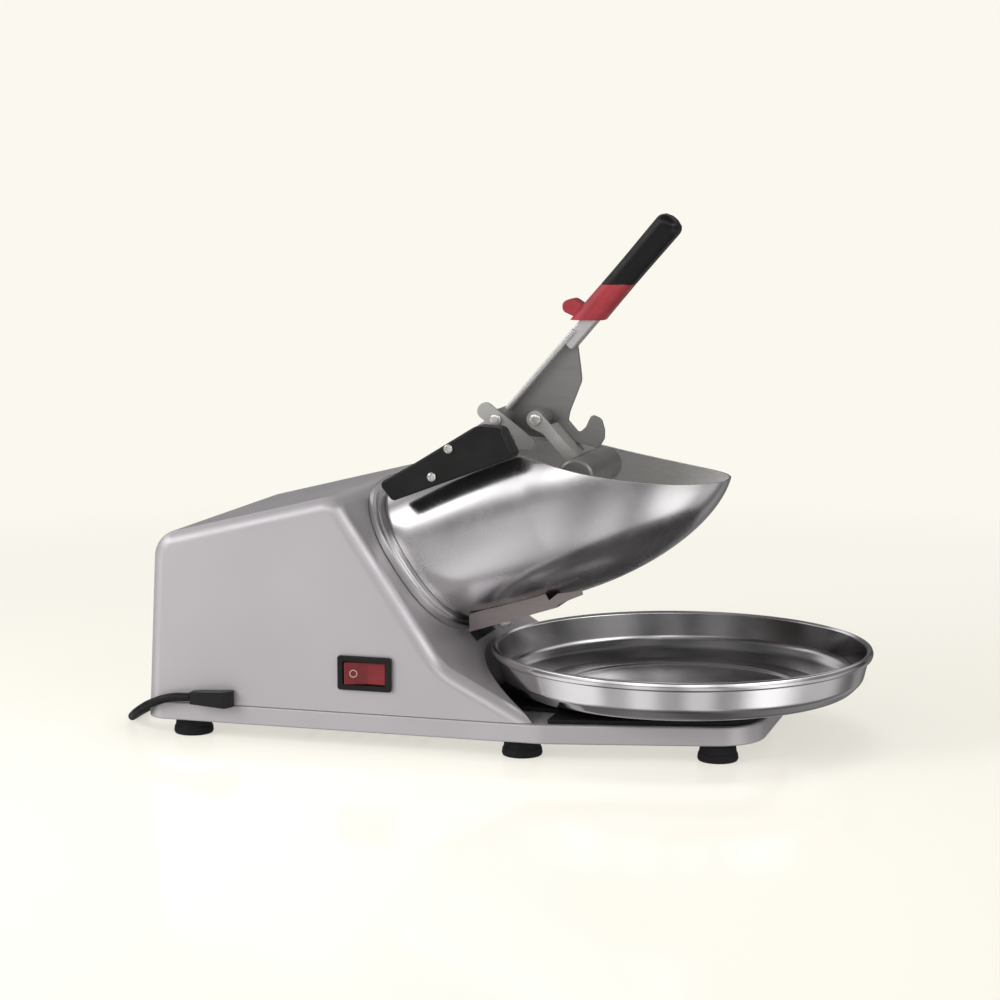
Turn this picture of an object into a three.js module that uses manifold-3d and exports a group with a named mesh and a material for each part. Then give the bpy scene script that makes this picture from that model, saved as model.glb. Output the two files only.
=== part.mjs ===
// A countertop shaved ice machine: a sheet steel housing on a footed tray, a lying hopper with a
// motor driven blade disc behind it, a lever that presses the ice, and a round bowl that slides out.
// Millimetres, +Z up, +X towards the bowl, -Y towards the side with the switch and the mains lead.
import * as THREE from 'three';
import { mergeVertices } from 'three/addons/utils/BufferGeometryUtils.js';
import Module from 'manifold-3d';

const wasm = await Module();
wasm.setup();

// ---------------------------------------------------------------- driving dimensions
const GAP = 0.3;
const HALF_WIDTH = 90;
const REAR_X = -204;
const TOE_X = 33;
const FRONT_X = 151;
const FRONT_HALF_WIDTH = 63.4;

const FOOT_HEIGHT = 10.1;
const FOOT_BOTTOM_RADIUS = 11.5;
const FOOT_TOP_RADIUS = 9.8;
const TRAY_BOTTOM = FOOT_HEIGHT + GAP;
const TRAY_TOP = 21.2;
const TRAY_SKIN = 2.5;

const SHELL_SKIN = 1.8;
const SHELL_BOTTOM = TRAY_TOP + GAP;
const SHELL_EDGE_ROUND = 5;
const SLOPE_ANGLE = THREE.MathUtils.degToRad(56);
const SLOPE_CENTRE = [-57.3, 101.1];

const BOWL_X = 94;
const BOWL_RADIUS = 110;
const BOWL_BOTTOM = 24.2;
const BOWL_RIM = 53.4;
const RECESS_FLOOR_RADIUS = 104.7;
const RECESS_TOP_RADIUS = 124.3;
const MAT_RADIUS = 107.8;

const HOPPER_ANGLE = THREE.MathUtils.degToRad(69.6);
const HOPPER_ORIGIN = [-51.9, 104.7];
const HOPPER_WALL = 1.4;
const HOPPER_ROOT = -14;
const HOPPER_DOME_START = 80;
const HOPPER_TIP = 184;
const HOPPER_ROOT_HALF_HEIGHT = 44;
const HOPPER_HALF_HEIGHT = 51.5;
const HOPPER_ROOT_WIDENING = 1.34;
const HOPPER_WIDENING = 1.21;
const SQUARENESS = 2.35;

const DISC_RADIUS = 45.5;
const CHAMBER_RADIUS = 48;
const SHAFT_RADIUS = 5;
const MOTOR_RADIUS = 33;

const HINGE = [-11, 183];
const LEVER_ANGLE = THREE.MathUtils.degToRad(40.7);
const FIN_HALF_THICKNESS = 1.5;
const BAR_HALF_WIDTH = 8;
const TANG_FRONT = 4.6;
const TANG_HALF_WIDTH = 6.4;
const LINK_PIVOT = [16.8, 14.8];
const LINK_ANGLE = THREE.MathUtils.degToRad(137.7);
const LINK_OUTER = 19.6;
const LINK_SKIN = 2;
const BRACKET_OUTER = 23.5;
const BRACKET_SKIN = 2;
const PIN_RADIUS = 2.3;
const PIN_HOLE_RADIUS = 2.7;
const HUB_RADIUS = 5.6;

const COVER_OUTER = 66;
const COVER_INNER = 50;
const COVER_SKIN = 2.4;

const CORD_RADIUS = 2.5;

// ---------------------------------------------------------------- materials
const STEEL = { color: 0xb9b6b6, metalness: 0.9, roughness: 0.35 };
const POLISHED = { color: 0xd6d4d3, metalness: 1, roughness: 0.12 };
const SILVER = { color: 0xa9a4a7, metalness: 0.6, roughness: 0.4 };
const CAST = { color: 0x9a9a9c, metalness: 0.8, roughness: 0.5 };
const DARK_STEEL = { color: 0x5b5a59, metalness: 0.8, roughness: 0.4 };
const BLACK = { color: 0x161616, metalness: 0, roughness: 0.5 };
const RUBBER = { color: 0x0d0d0e, metalness: 0, roughness: 0.8 };
const RED = { color: 0x9c1f26, metalness: 0, roughness: 0.4 };

// ---------------------------------------------------------------- geometry helpers
function toSolid(geometry) {
  const plain = geometry.clone();
  plain.deleteAttribute('normal');
  plain.deleteAttribute('uv');
  const merged = mergeVertices(plain, 1e-4);
  return new wasm.Manifold(new wasm.Mesh({
    numProp: 3,
    vertProperties: new Float32Array(merged.attributes.position.array),
    triVerts: new Uint32Array(merged.index.array),
  }));
}

function toGeometry(solid) {
  const mesh = solid.getMesh();
  const geometry = new THREE.BufferGeometry();
  geometry.setAttribute('position', new THREE.BufferAttribute(mesh.vertProperties, 3));
  geometry.setIndex(new THREE.BufferAttribute(mesh.triVerts, 1));
  geometry.computeVertexNormals();
  return geometry;
}

function join(...solids) {
  return solids.reduce((sum, next) => sum.add(next));
}

function cut(solid, ...tools) {
  return tools.reduce((rest, tool) => rest.subtract(tool), solid);
}

function box(low, high) {
  const size = high.map((value, axis) => value - low[axis]);
  const geometry = new THREE.BoxGeometry(...size);
  geometry.translate(...high.map((value, axis) => (value + low[axis]) / 2));
  return geometry;
}

// A cylinder or cone along Z.
function rod(bottomRadius, topRadius, low, high, segments = 32) {
  const geometry = new THREE.CylinderGeometry(topRadius, bottomRadius, high - low, segments);
  geometry.rotateX(Math.PI / 2);
  geometry.translate(0, 0, (low + high) / 2);
  return geometry;
}

// A cylinder along Y through the point [x, z].
function crossRod(radius, [x, z], low, high, segments = 24) {
  const geometry = new THREE.CylinderGeometry(radius, radius, high - low, segments);
  geometry.translate(x, (low + high) / 2, z);
  return geometry;
}

// Revolves a [radius, height] profile about Z.
function spun(profile, segments = 48) {
  const points = profile.map(([radius, height]) => new THREE.Vector2(radius, height));
  const geometry = new THREE.LatheGeometry(points, segments);
  geometry.rotateX(Math.PI / 2);
  return geometry;
}

// The unit vector from one corner of a polygon towards another.
function direction(from, to) {
  return new THREE.Vector2(to[0] - from[0], to[1] - from[1]).normalize();
}

// Points of a polygon whose corners [x, y, radius] are rounded with arcs.
function roundedPoints(corners, steps = 5) {
  const points = [];
  corners.forEach(([x, y, radius = 0], i) => {
    const corner = new THREE.Vector2(x, y);
    if (radius === 0) {
      points.push(corner);
      return;
    }
    const before = direction([x, y], corners.at(i - 1));
    const after = direction([x, y], corners[(i + 1) % corners.length]);
    const half = Math.acos(THREE.MathUtils.clamp(before.dot(after), -1, 1)) / 2;
    const inward = before.clone().add(after).normalize();
    const centre = corner.clone().addScaledVector(inward, radius / Math.sin(half));
    const start = corner.clone().addScaledVector(before, radius / Math.tan(half)).sub(centre);
    const end = corner.clone().addScaledVector(after, radius / Math.tan(half)).sub(centre);
    const sweep = Math.atan2(start.cross(end), start.dot(end));
    for (let step = 0; step <= steps; step += 1) {
      points.push(start.clone().rotateAround(new THREE.Vector2(), sweep * step / steps).add(centre));
    }
  });
  return points;
}

// Moves every side of a counter-clockwise polygon inwards and keeps the corner arcs concentric.
function inset(corners, distance) {
  return corners.map(([x, y, radius = 0], i) => {
    const corner = new THREE.Vector2(x, y);
    const into = direction(corners.at(i - 1), [x, y]);
    const out = direction([x, y], corners[(i + 1) % corners.length]);
    const normal = new THREE.Vector2(-into.y - out.y, into.x + out.x).normalize();
    const reach = distance / (normal.x * -into.y + normal.y * into.x);
    const convex = into.cross(out) > 0;
    const moved = corner.addScaledVector(normal, reach);
    const newRadius = radius === 0 ? 0 : Math.max(radius + (convex ? -distance : distance), 0.5);
    return [moved.x, moved.y, newRadius];
  });
}

// Extrudes an outline of the XY plane from one height to another.
function slab(corners, low, high, steps) {
  const shape = new THREE.Shape(roundedPoints(corners, steps));
  const geometry = new THREE.ExtrudeGeometry(shape, { depth: high - low, bevelEnabled: false });
  geometry.translate(0, 0, low);
  return geometry;
}

// Extrudes an outline of the XZ plane from one Y to another; edgeRound softens both end faces.
function profile(corners, low, high, edgeRound = 0, steps = 5) {
  const shape = new THREE.Shape(roundedPoints(corners, steps));
  const geometry = new THREE.ExtrudeGeometry(shape, {
    depth: high - low - 2 * edgeRound,
    bevelEnabled: edgeRound > 0,
    bevelThickness: edgeRound,
    bevelSize: edgeRound,
    bevelOffset: -edgeRound,
    bevelSegments: 3,
  });
  geometry.rotateX(Math.PI / 2);
  geometry.translate(0, high - edgeRound, 0);
  return geometry;
}

function mirrorY(corners) {
  return corners.toReversed().map(([x, y, radius]) => [x, -y, radius]);
}

// A frame turned about Y, at [x, z]: its own Z axis leans from vertical towards +X by the angle.
function tilted([x, z], angle) {
  return new THREE.Matrix4().makeRotationY(angle).setPosition(x, 0, z);
}

const slopeFrame = tilted(SLOPE_CENTRE, SLOPE_ANGLE);
const hopperFrame = tilted(HOPPER_ORIGIN, HOPPER_ANGLE);

function inFrame(frame, geometry) {
  return geometry.clone().applyMatrix4(frame);
}

// ---------------------------------------------------------------- scene helpers
const machine = new THREE.Group();

function groupAt([x, z], angle, parent = machine) {
  const group = new THREE.Group();
  group.position.set(x, 0, z);
  group.rotation.y = angle;
  parent.add(group);
  return group;
}

function addPiece(name, shape, finish, parent = machine) {
  const geometry = shape.isBufferGeometry ? shape : toGeometry(shape);
  const mesh = new THREE.Mesh(geometry, new THREE.MeshStandardMaterial(finish));
  mesh.name = name;
  parent.add(mesh);
  return mesh;
}

// ---------------------------------------------------------------- tray, feet and bottom cover
const trayHalf = [
  [REAR_X, -HALF_WIDTH, 12],
  [TOE_X, -HALF_WIDTH, 30],
  [FRONT_X, -FRONT_HALF_WIDTH, 30],
];
const TRAY_OUTLINE = [...trayHalf, ...mirrorY(trayHalf)];

const FEET = [
  ['rear_left', -180, -73],
  ['rear_right', -180, 73],
  ['middle_left', 19, -73],
  ['middle_right', 19, 73],
  ['front_left', 127, -55],
  ['front_right', 127, 55],
];
const BOSS_RADIUS = 9.5;
const COVER_LOW = TRAY_BOTTOM;
const COVER_HIGH = 11.8;
const SCREW_RADIUS = 2;

function makeTray() {
  const outer = toSolid(slab(TRAY_OUTLINE, TRAY_BOTTOM, TRAY_TOP, 6));
  const hollow = toSolid(slab(inset(TRAY_OUTLINE, TRAY_SKIN), TRAY_BOTTOM - 1, TRAY_TOP - TRAY_SKIN, 6));
  let tray = cut(outer, hollow);
  for (const [, x, y] of FEET) {
    const boss = rod(BOSS_RADIUS, BOSS_RADIUS, COVER_HIGH + GAP, TRAY_TOP - 1, 16).translate(x, y, 0);
    const holeRadius = SCREW_RADIUS + GAP;
    const hole = rod(holeRadius, holeRadius, TRAY_BOTTOM - 1, TRAY_TOP - 3, 8).translate(x, y, 0);
    tray = cut(join(tray, toSolid(boss)), toSolid(hole));
  }
  return tray;
}
addPiece('base_tray', makeTray(), SILVER);

// The foot is a truncated cone with a counterbore for the screw head and a hole for its shank.
function footSolid() {
  const cone = toSolid(spun([
    [0, 0], [FOOT_BOTTOM_RADIUS - 0.6, 0], [FOOT_BOTTOM_RADIUS, 1.2], [FOOT_TOP_RADIUS, FOOT_HEIGHT],
    [0, FOOT_HEIGHT],
  ], 20));
  const counterbore = toSolid(rod(4.8, 4.8, -1, 4, 12));
  const shankHole = toSolid(rod(SCREW_RADIUS + GAP, SCREW_RADIUS + GAP, 3, FOOT_HEIGHT + 1, 8));
  return cut(cone, counterbore, shankHole);
}

function footScrewSolid() {
  const head = toSolid(rod(4.2, 4.2, 1.4, 3.7, 12));
  const shank = toSolid(rod(SCREW_RADIUS, SCREW_RADIUS, 3, TRAY_TOP - 4, 8));
  return join(head, shank);
}

for (const [place, x, y] of FEET) {
  addPiece(`foot_${place}`, footSolid(), RUBBER).position.set(x, y, 0);
  addPiece(`foot_screw_${place}`, footScrewSolid(), STEEL).position.set(x, y, 0);
}

// A sheet clamped between the feet and the tray's bosses, with a row of air slots under the motor.
function makeBottomCover() {
  let plate = toSolid(slab(inset(TRAY_OUTLINE, TRAY_SKIN + GAP), COVER_LOW, COVER_HIGH, 4));
  for (let i = 0; i < 6; i += 1) {
    const x = -130 + i * 14;
    plate = cut(plate, toSolid(box([x, -32, COVER_LOW - 1], [x + 5, 32, COVER_HIGH + 1])));
  }
  for (const [, x, y] of FEET) {
    const hole = rod(SCREW_RADIUS + GAP, SCREW_RADIUS + GAP, COVER_LOW - 1, COVER_HIGH + 1, 8);
    plate = cut(plate, toSolid(hole.translate(x, y, 0)));
  }
  return plate;
}
addPiece('bottom_cover', makeBottomCover(), STEEL);

// ---------------------------------------------------------------- housing
const HOUSING_PROFILE = [
  [-203, 9],
  [50.5, 9],
  [33, 21.6, 2],
  [-23.4, 50.9, 30],
  [-86.7, 144.6, 12],
  [-197.5, 117, 16],
];

const SWITCH_X = -68;
const SWITCH_Z = 44.6;
const GLAND_X = -152;
const GLAND_Z = 25.6;
const VENT_COUNT = 7;
const VENT_PITCH = 11;
const VENT_LOW = 48;
const VENT_HIGH = 88;
const OUTLET_HALF_WIDTH = 20;
const OUTLET_TOP = 52.2;
const OUTLET_BOTTOM = 59.2;

// The round hollow, slightly conical, that the bowl slides out of.
function recessTool(room) {
  const cone = rod(RECESS_FLOOR_RADIUS + room, RECESS_TOP_RADIUS + room, 0, 100, 80);
  return toSolid(cone.translate(BOWL_X, 0, 0));
}

function makeHousing() {
  const upper = toSolid(box([REAR_X - 10, -100, SHELL_BOTTOM], [TOE_X + 20, 100, 200]));
  const innerUpper = toSolid(box([REAR_X - 10, -100, 0], [TOE_X + 20, 100, 200]));
  const outer = toSolid(profile(HOUSING_PROFILE, -HALF_WIDTH, HALF_WIDTH, SHELL_EDGE_ROUND, 6));
  const inner = toSolid(profile(
    inset(HOUSING_PROFILE, SHELL_SKIN),
    -HALF_WIDTH + SHELL_SKIN,
    HALF_WIDTH - SHELL_SKIN,
    SHELL_EDGE_ROUND - SHELL_SKIN,
    6,
  ));
  const recess = recessTool(0);
  const recessBack = recessTool(SHELL_SKIN);
  const room = inner.intersect(innerUpper).subtract(recessBack);
  const shell = cut(outer.intersect(upper), recess, room);
  const bladeHole = toSolid(inFrame(slopeFrame, rod(CHAMBER_RADIUS, CHAMBER_RADIUS, -9, 9, 64)));
  const outletSlot = box([OUTLET_TOP, -OUTLET_HALF_WIDTH, -9], [OUTLET_BOTTOM, OUTLET_HALF_WIDTH, 9]);
  const outlet = toSolid(inFrame(slopeFrame, outletSlot));
  const switchHole = toSolid(box(
    [SWITCH_X - 13.9, -95, SWITCH_Z - 7.9],
    [SWITCH_X + 13.9, -80, SWITCH_Z + 7.9],
  ));
  const glandHole = toSolid(crossRod(4.3, [GLAND_X, GLAND_Z], -95, -80));
  const vents = [];
  for (let i = 0; i < VENT_COUNT; i += 1) {
    const y = (i - (VENT_COUNT - 1) / 2) * VENT_PITCH;
    vents.push(toSolid(box([REAR_X - 5, y - 2, VENT_LOW], [REAR_X + 12, y + 2, VENT_HIGH])));
  }
  return cut(shell, bladeHole, outlet, switchHole, glandHole, ...vents);
}
addPiece('body_shell', makeHousing(), SILVER);

// ---------------------------------------------------------------- bowl and its mat
const MAT_LOW = TRAY_TOP + GAP;
const MAT_HIGH = BOWL_BOTTOM - GAP;

function makeMat() {
  const onTray = toSolid(slab(inset(TRAY_OUTLINE, 3), MAT_LOW, MAT_HIGH, 6));
  const front = toSolid(box([TOE_X + 4, -100, 0], [FRONT_X + 10, 100, 60]));
  const disc = toSolid(rod(MAT_RADIUS, MAT_RADIUS, MAT_LOW, MAT_HIGH, 80).translate(BOWL_X, 0, 0));
  const rear = toSolid(box([-40, -58, 0], [TOE_X + 6, 58, 60]));
  return join(onTray.intersect(front), disc.intersect(rear));
}
addPiece('bowl_mat', makeMat(), RUBBER);

// The spun sheet runs up the outside, round the bead and down the inside.
function makeBowl() {
  const outside = [
    [0, 26.2], [68, 26.2], [71, BOWL_BOTTOM], [92, BOWL_BOTTOM], [98, 26.1], [102, 30.5],
    [104.9, 45.6], [108, 45.6], [BOWL_RADIUS, 49.3], [108.8, 52.6], [106, BOWL_RIM],
  ];
  const inside = [
    [103.8, 51.6], [100.6, 31.4], [97, 27.4], [91.8, 25.6], [71.8, 25.6], [68.8, 27.6], [0, 27.6],
  ];
  return spun([...outside, ...inside], 72);
}
addPiece('bowl', makeBowl(), POLISHED).position.set(BOWL_X, 0, 0);

// ---------------------------------------------------------------- rocker switch
const ROCKER_PIVOT_Y = -88.4;
const ROCKER_TILT = THREE.MathUtils.degToRad(7);

function makeBezel() {
  const flange = toSolid(box([-16, -2.2, -9.8], [16, 0, 9.8]));
  const barrel = toSolid(box([-13.6, -0.5, -7.6], [13.6, 14, 7.6]));
  const opening = toSolid(box([-12.7, -5, -6.7], [12.7, 12.5, 6.7]));
  return cut(join(flange, barrel), opening);
}
addPiece('switch_bezel', makeBezel(), BLACK).position.set(SWITCH_X, -HALF_WIDTH - GAP, SWITCH_Z);

function makeRocker() {
  const halfLength = 11.9;
  const outline = [
    [-halfLength, -3.6], [-2, 6], [2, 6], [halfLength, -3.6],
    [halfLength, -4.4], [0, -3], [-halfLength, -4.4],
  ].toReversed();
  return slab(outline.map(([x, y]) => [x, y, 0]), -6.3, 6.3);
}
const rocker = addPiece('switch_rocker', makeRocker(), RED);
rocker.position.set(SWITCH_X, ROCKER_PIVOT_Y, SWITCH_Z);
rocker.rotation.z = ROCKER_TILT;

// ---------------------------------------------------------------- blade housing, disc and motor
const slope = groupAt(SLOPE_CENTRE, SLOPE_ANGLE);
const RING_HIGH = 6.3;
const HOUSING_BACK = -29;

function superEllipse(halfX, halfY, count = 64) {
  const points = [];
  for (let i = 0; i < count; i += 1) {
    const angle = 2 * Math.PI * i / count;
    const reach = squareReach(angle);
    points.push([halfX * reach * Math.cos(angle), halfY * reach * Math.sin(angle), 0]);
  }
  return points;
}

function squareReach(angle) {
  const sum = Math.abs(Math.cos(angle)) ** SQUARENESS + Math.abs(Math.sin(angle)) ** SQUARENESS;
  return sum ** (-1 / SQUARENESS);
}

function makeCollar() {
  const plate = toSolid(slab(superEllipse(51.5, 70), GAP, RING_HIGH - 2));
  const step = toSolid(slab(superEllipse(49.5, 67), GAP, RING_HIGH));
  const hole = toSolid(rod(46.5, 46.5, -1, RING_HIGH + 1, 64));
  return cut(join(plate, step), hole);
}
addPiece('hopper_collar', makeCollar(), STEEL, slope);

function makeBladeHousing() {
  const front = -SHELL_SKIN - GAP - 0.1;
  const chuteOuter = [
    [20, HOUSING_BACK], [42, HOUSING_BACK], [OUTLET_BOTTOM + 2.6, front - 3],
    [OUTLET_BOTTOM + 2.6, front], [20, front],
  ];
  const chuteInner = [[20, -26], [40.5, -26], [OUTLET_BOTTOM, front - 3], [OUTLET_BOTTOM, 2], [20, 2]];
  const outer = join(
    toSolid(rod(50.5, 50.5, HOUSING_BACK, front, 64)),
    toSolid(profile(chuteOuter.toReversed(), -OUTLET_HALF_WIDTH - 3, OUTLET_HALF_WIDTH + 3)),
  );
  const inner = join(
    toSolid(rod(CHAMBER_RADIUS, CHAMBER_RADIUS, -26, front + 2, 64)),
    toSolid(profile(chuteInner.toReversed(), -OUTLET_HALF_WIDTH - 0.5, OUTLET_HALF_WIDTH + 0.5)),
  );
  const insideShell = profile(inset(HOUSING_PROFILE, SHELL_SKIN + GAP), -80, 80, 0, 6);
  const room = toSolid(inFrame(slopeFrame.clone().invert(), insideShell));
  return cut(outer, inner, toSolid(rod(6.5, 6.5, -40, 0, 24))).intersect(room);
}
addPiece('blade_housing', makeBladeHousing(), CAST, slope);

const DISC_LOW = -7.5;
const DISC_HIGH = -2.2;
const BLADE_COUNT = 3;

function bladeOutline(grow) {
  return box([13 - grow, -7 - grow, DISC_HIGH - 2.2 - grow], [41 + grow, 7 + grow, DISC_HIGH + 0.6]);
}

function makeDisc() {
  let disc = join(
    toSolid(rod(DISC_RADIUS, DISC_RADIUS, DISC_LOW, DISC_HIGH, 64)),
    toSolid(rod(10, 9, DISC_HIGH - 1, 0.6, 24)),
    toSolid(rod(10, 10, -14, DISC_LOW + 1, 24)),
  );
  for (let i = 0; i < BLADE_COUNT; i += 1) {
    const turn = new THREE.Matrix4().makeRotationZ(2 * Math.PI * i / BLADE_COUNT);
    const pocket = toSolid(inFrame(turn, bladeOutline(GAP)));
    const slot = toSolid(inFrame(turn, box([14, 7.8, -12], [40, 11.5, 3])));
    disc = cut(disc, pocket, slot);
  }
  return cut(disc, toSolid(rod(4.3, 4.3, -20, 5, 24)));
}
addPiece('blade_disc', makeDisc(), CAST, slope);

for (let i = 0; i < BLADE_COUNT; i += 1) {
  const blade = addPiece(`blade_${i + 1}`, bladeOutline(0), STEEL, slope);
  blade.rotation.z = 2 * Math.PI * i / BLADE_COUNT;
}

const capNut = spun([
  [0, 7.6], [4.9, 7.2], [4.9, 0.9], [7, 0.9], [7, 5.5], [5.6, 7.8], [3, 8.9], [0, 9.2],
], 6);
addPiece('disc_nut', capNut, STEEL, slope);

const MOTOR_FRONT = HOUSING_BACK - GAP;
const MOTOR_REAR = -85;

function makeShaft() {
  return spun([
    [0, -98], [4, -98], [4, -87], [SHAFT_RADIUS, -87], [SHAFT_RADIUS, -76], [20, -76], [20, -40],
    [SHAFT_RADIUS, -40], [SHAFT_RADIUS, -14.4], [4, -14.4], [4, 6.5], [0, 6.5],
  ], 20);
}
addPiece('motor_shaft', makeShaft(), STEEL, slope);

function ring(inner, outer, low, high, segments = 28) {
  return spun([[inner, low], [outer, low], [outer, high], [inner, high], [inner, low]], segments);
}
addPiece('motor_front_bell', ring(5.4, MOTOR_RADIUS, -36, MOTOR_FRONT), CAST, slope);
addPiece('motor_body', ring(21, MOTOR_RADIUS, -79.7, -36 - GAP), DARK_STEEL, slope);
addPiece('motor_rear_bell', ring(5.4, MOTOR_RADIUS, MOTOR_REAR, -80), CAST, slope);

function makeFan() {
  const blades = 8;
  let fan = toSolid(rod(8, 8, -96, -88, 24));
  fan = join(fan, toSolid(rod(26, 26, -96, -94.6, 24)));
  for (let i = 0; i < blades; i += 1) {
    const turn = new THREE.Matrix4().makeRotationZ(2 * Math.PI * i / blades);
    fan = join(fan, toSolid(inFrame(turn, box([6, -0.7, -95], [25.5, 0.7, -88]))));
  }
  return cut(fan, toSolid(rod(4.5, 4.5, -100, -80, 20)));
}
addPiece('cooling_fan', makeFan(), BLACK, slope);

function makeMotorCradle() {
  const foot = toSolid(box([-118, -30, SHELL_BOTTOM], [-66, 30, SHELL_BOTTOM + 2.5]));
  const rearRib = toSolid(box([-113, -30, SHELL_BOTTOM], [-110, 30, 62]));
  const frontRib = toSolid(box([-76, -30, SHELL_BOTTOM], [-73, 30, 75]));
  const room = MOTOR_RADIUS + GAP;
  const motor = toSolid(inFrame(slopeFrame, rod(room + 0.2, room + 0.2, -90, -20, 40)));
  const fan = toSolid(inFrame(slopeFrame, rod(29, 29, -110, -80, 32)));
  const chamber = toSolid(inFrame(slopeFrame, rod(51.5, 51.5, HOUSING_BACK - GAP, 10, 40)));
  return cut(join(foot, rearRib, frontRib), motor, fan, chamber);
}
addPiece('motor_cradle', makeMotorCradle(), STEEL);

const capacitor = new THREE.CapsuleGeometry(12, 30, 3, 14);
addPiece('run_capacitor', capacitor, BLACK).position.set(-170, 30, SHELL_BOTTOM + 12.6);
const terminalBlock = box([-12, -18, 0], [12, 18, 12]);
addPiece('terminal_block', terminalBlock, BLACK).position.set(-172, -38, SHELL_BOTTOM + GAP);

// ---------------------------------------------------------------- hopper
const hopperGroup = groupAt(HOPPER_ORIGIN, HOPPER_ANGLE);

function hopperHalfHeight(u) {
  if (u <= HOPPER_DOME_START) {
    const along = (u - HOPPER_ROOT) / (HOPPER_DOME_START - HOPPER_ROOT);
    const rise = HOPPER_HALF_HEIGHT - HOPPER_ROOT_HALF_HEIGHT;
    return HOPPER_ROOT_HALF_HEIGHT + rise * Math.sin(along * Math.PI / 2);
  }
  const along = Math.min((u - HOPPER_DOME_START) / (HOPPER_TIP - HOPPER_DOME_START), 1);
  return HOPPER_HALF_HEIGHT * Math.sqrt(1 - along * along);
}

// Turns a round spun shape into the hopper's wide, slightly square section.
function widen(geometry) {
  const position = geometry.attributes.position;
  for (let i = 0; i < position.count; i += 1) {
    const x = position.getX(i);
    const y = position.getY(i);
    const fromRoot = (position.getZ(i) - HOPPER_ROOT) / (HOPPER_DOME_START - HOPPER_ROOT);
    const along = THREE.MathUtils.clamp(fromRoot, 0, 1);
    const widening = THREE.MathUtils.lerp(HOPPER_ROOT_WIDENING, HOPPER_WIDENING, along);
    const reach = squareReach(Math.atan2(y, x));
    position.setXY(i, x * reach, y * reach * widening);
  }
  return geometry;
}

function hopperCurve(shrink) {
  const points = [];
  const straightSteps = 4;
  for (let i = 0; i < straightSteps; i += 1) {
    const u = THREE.MathUtils.lerp(HOPPER_ROOT, HOPPER_DOME_START, i / straightSteps);
    points.push([hopperHalfHeight(u) - shrink, u]);
  }
  const domeSteps = 10;
  for (let i = 0; i < domeSteps; i += 1) {
    const angle = (i / domeSteps) * Math.PI / 2;
    const height = HOPPER_HALF_HEIGHT - shrink;
    const length = HOPPER_TIP - HOPPER_DOME_START - shrink;
    points.push([height * Math.cos(angle), HOPPER_DOME_START + length * Math.sin(angle)]);
  }
  points.push([0, HOPPER_TIP - shrink]);
  return points;
}

// The mouth's edge seen from the side, from the front tip to the rear, with room above it.
const MOUTH_EDGE = [
  [150, 148.5], [118, 150.3], [94, 151.6], [70, 154.2], [48, 157.7], [28, 162], [11, 165.5],
  [-8, 167.5], [-24, 167.6],
];

function mouthTool(raise) {
  const edge = MOUTH_EDGE.map(([x, z]) => [x, z + raise]);
  const outline = [...edge, [edge.at(-1)[0], 230], [edge[0][0], 230]];
  return toSolid(profile(outline.toReversed(), -100, 100));
}

function hopperEnvelope(room) {
  const filled = spun([[0, HOPPER_ROOT], ...hopperCurve(-room)], 48);
  return cut(toSolid(inFrame(hopperFrame, widen(filled))), mouthTool(room));
}

function makeHopper() {
  const outer = hopperCurve(0);
  const inner = hopperCurve(HOPPER_WALL).toReversed();
  const shell = toSolid(inFrame(hopperFrame, widen(spun([...inner, ...outer], 48))));
  const belowCollar = box([-120, -120, -60], [120, 120, RING_HIGH + GAP]);
  return cut(shell, toSolid(inFrame(slopeFrame, belowCollar)), mouthTool(0));
}
addPiece('hopper', makeHopper(), POLISHED);

function makeSupport() {
  const side = [
    [-22.5, 61.3], [15.8, 73.6], [44.7, 86.2], [44, 88.6], [30, 86.2], [25, 82], [22, 87.2],
    [-22.5, 71.6],
  ];
  const web = [[-22.5, 61.3], [30, 78.2], [30, 80], [-22.5, 62.9]];
  const left = toSolid(profile(side, -38.5, -37));
  const right = toSolid(profile(side, 37, 38.5));
  const floor = toSolid(profile(web, -38.5, 38.5));
  return cut(join(left, right, floor), hopperEnvelope(GAP));
}
addPiece('hopper_support', makeSupport(), STEEL);

const supportBolt = spun([[0, -4.4], [3, -3.9], [4.6, -2], [4.8, -0.6], [4.8, 0], [0, 0]], 16);
for (const [side, y] of [['left', -22], ['right', 22]]) {
  const bolt = addPiece(`support_bolt_${side}`, supportBolt.clone(), STEEL);
  bolt.position.set(-6, y, 66.2);
  bolt.rotation.y = -Math.atan2(12.3, 38.3);
}

// ---------------------------------------------------------------- hinge covers
const COVER_OUTLINE = [
  [-59.7, 139.2, 3], [11.9, 166.6, 3], [3.7, 182.9, 5], [-10.7, 183.5, 7], [-29.1, 172.2, 60],
  [-46.8, 161.3, 60], [-68, 149.2, 3],
];
const COVER_SCREWS = [[-26.2, 170.4], [-36, 154.2]];
const COVER_SCREW_RADIUS = 1.7;
const COVER_HOLE_RADIUS = COVER_SCREW_RADIUS + 0.4;

function makeCover() {
  const outer = toSolid(profile(COVER_OUTLINE, -COVER_OUTER, -COVER_INNER, 0, 3));
  const pocketOutline = inset(COVER_OUTLINE, COVER_SKIN);
  const pocketLow = -COVER_OUTER + COVER_SKIN;
  const pocket = toSolid(profile(pocketOutline, pocketLow, -COVER_INNER + 5, 0, 3));
  const holes = COVER_SCREWS.map((place) => {
    return toSolid(crossRod(COVER_HOLE_RADIUS, place, -COVER_OUTER - 3, -COVER_INNER, 12));
  });
  return cut(outer, pocket, hopperEnvelope(GAP), ...holes);
}

function coverScrew() {
  const screw = spun([
    [0, -8], [COVER_SCREW_RADIUS, -8], [COVER_SCREW_RADIUS, GAP], [3.6, GAP], [3.2, 1.5], [0, 2.1],
  ], 12);
  return screw.rotateX(Math.PI / 2);
}

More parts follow.
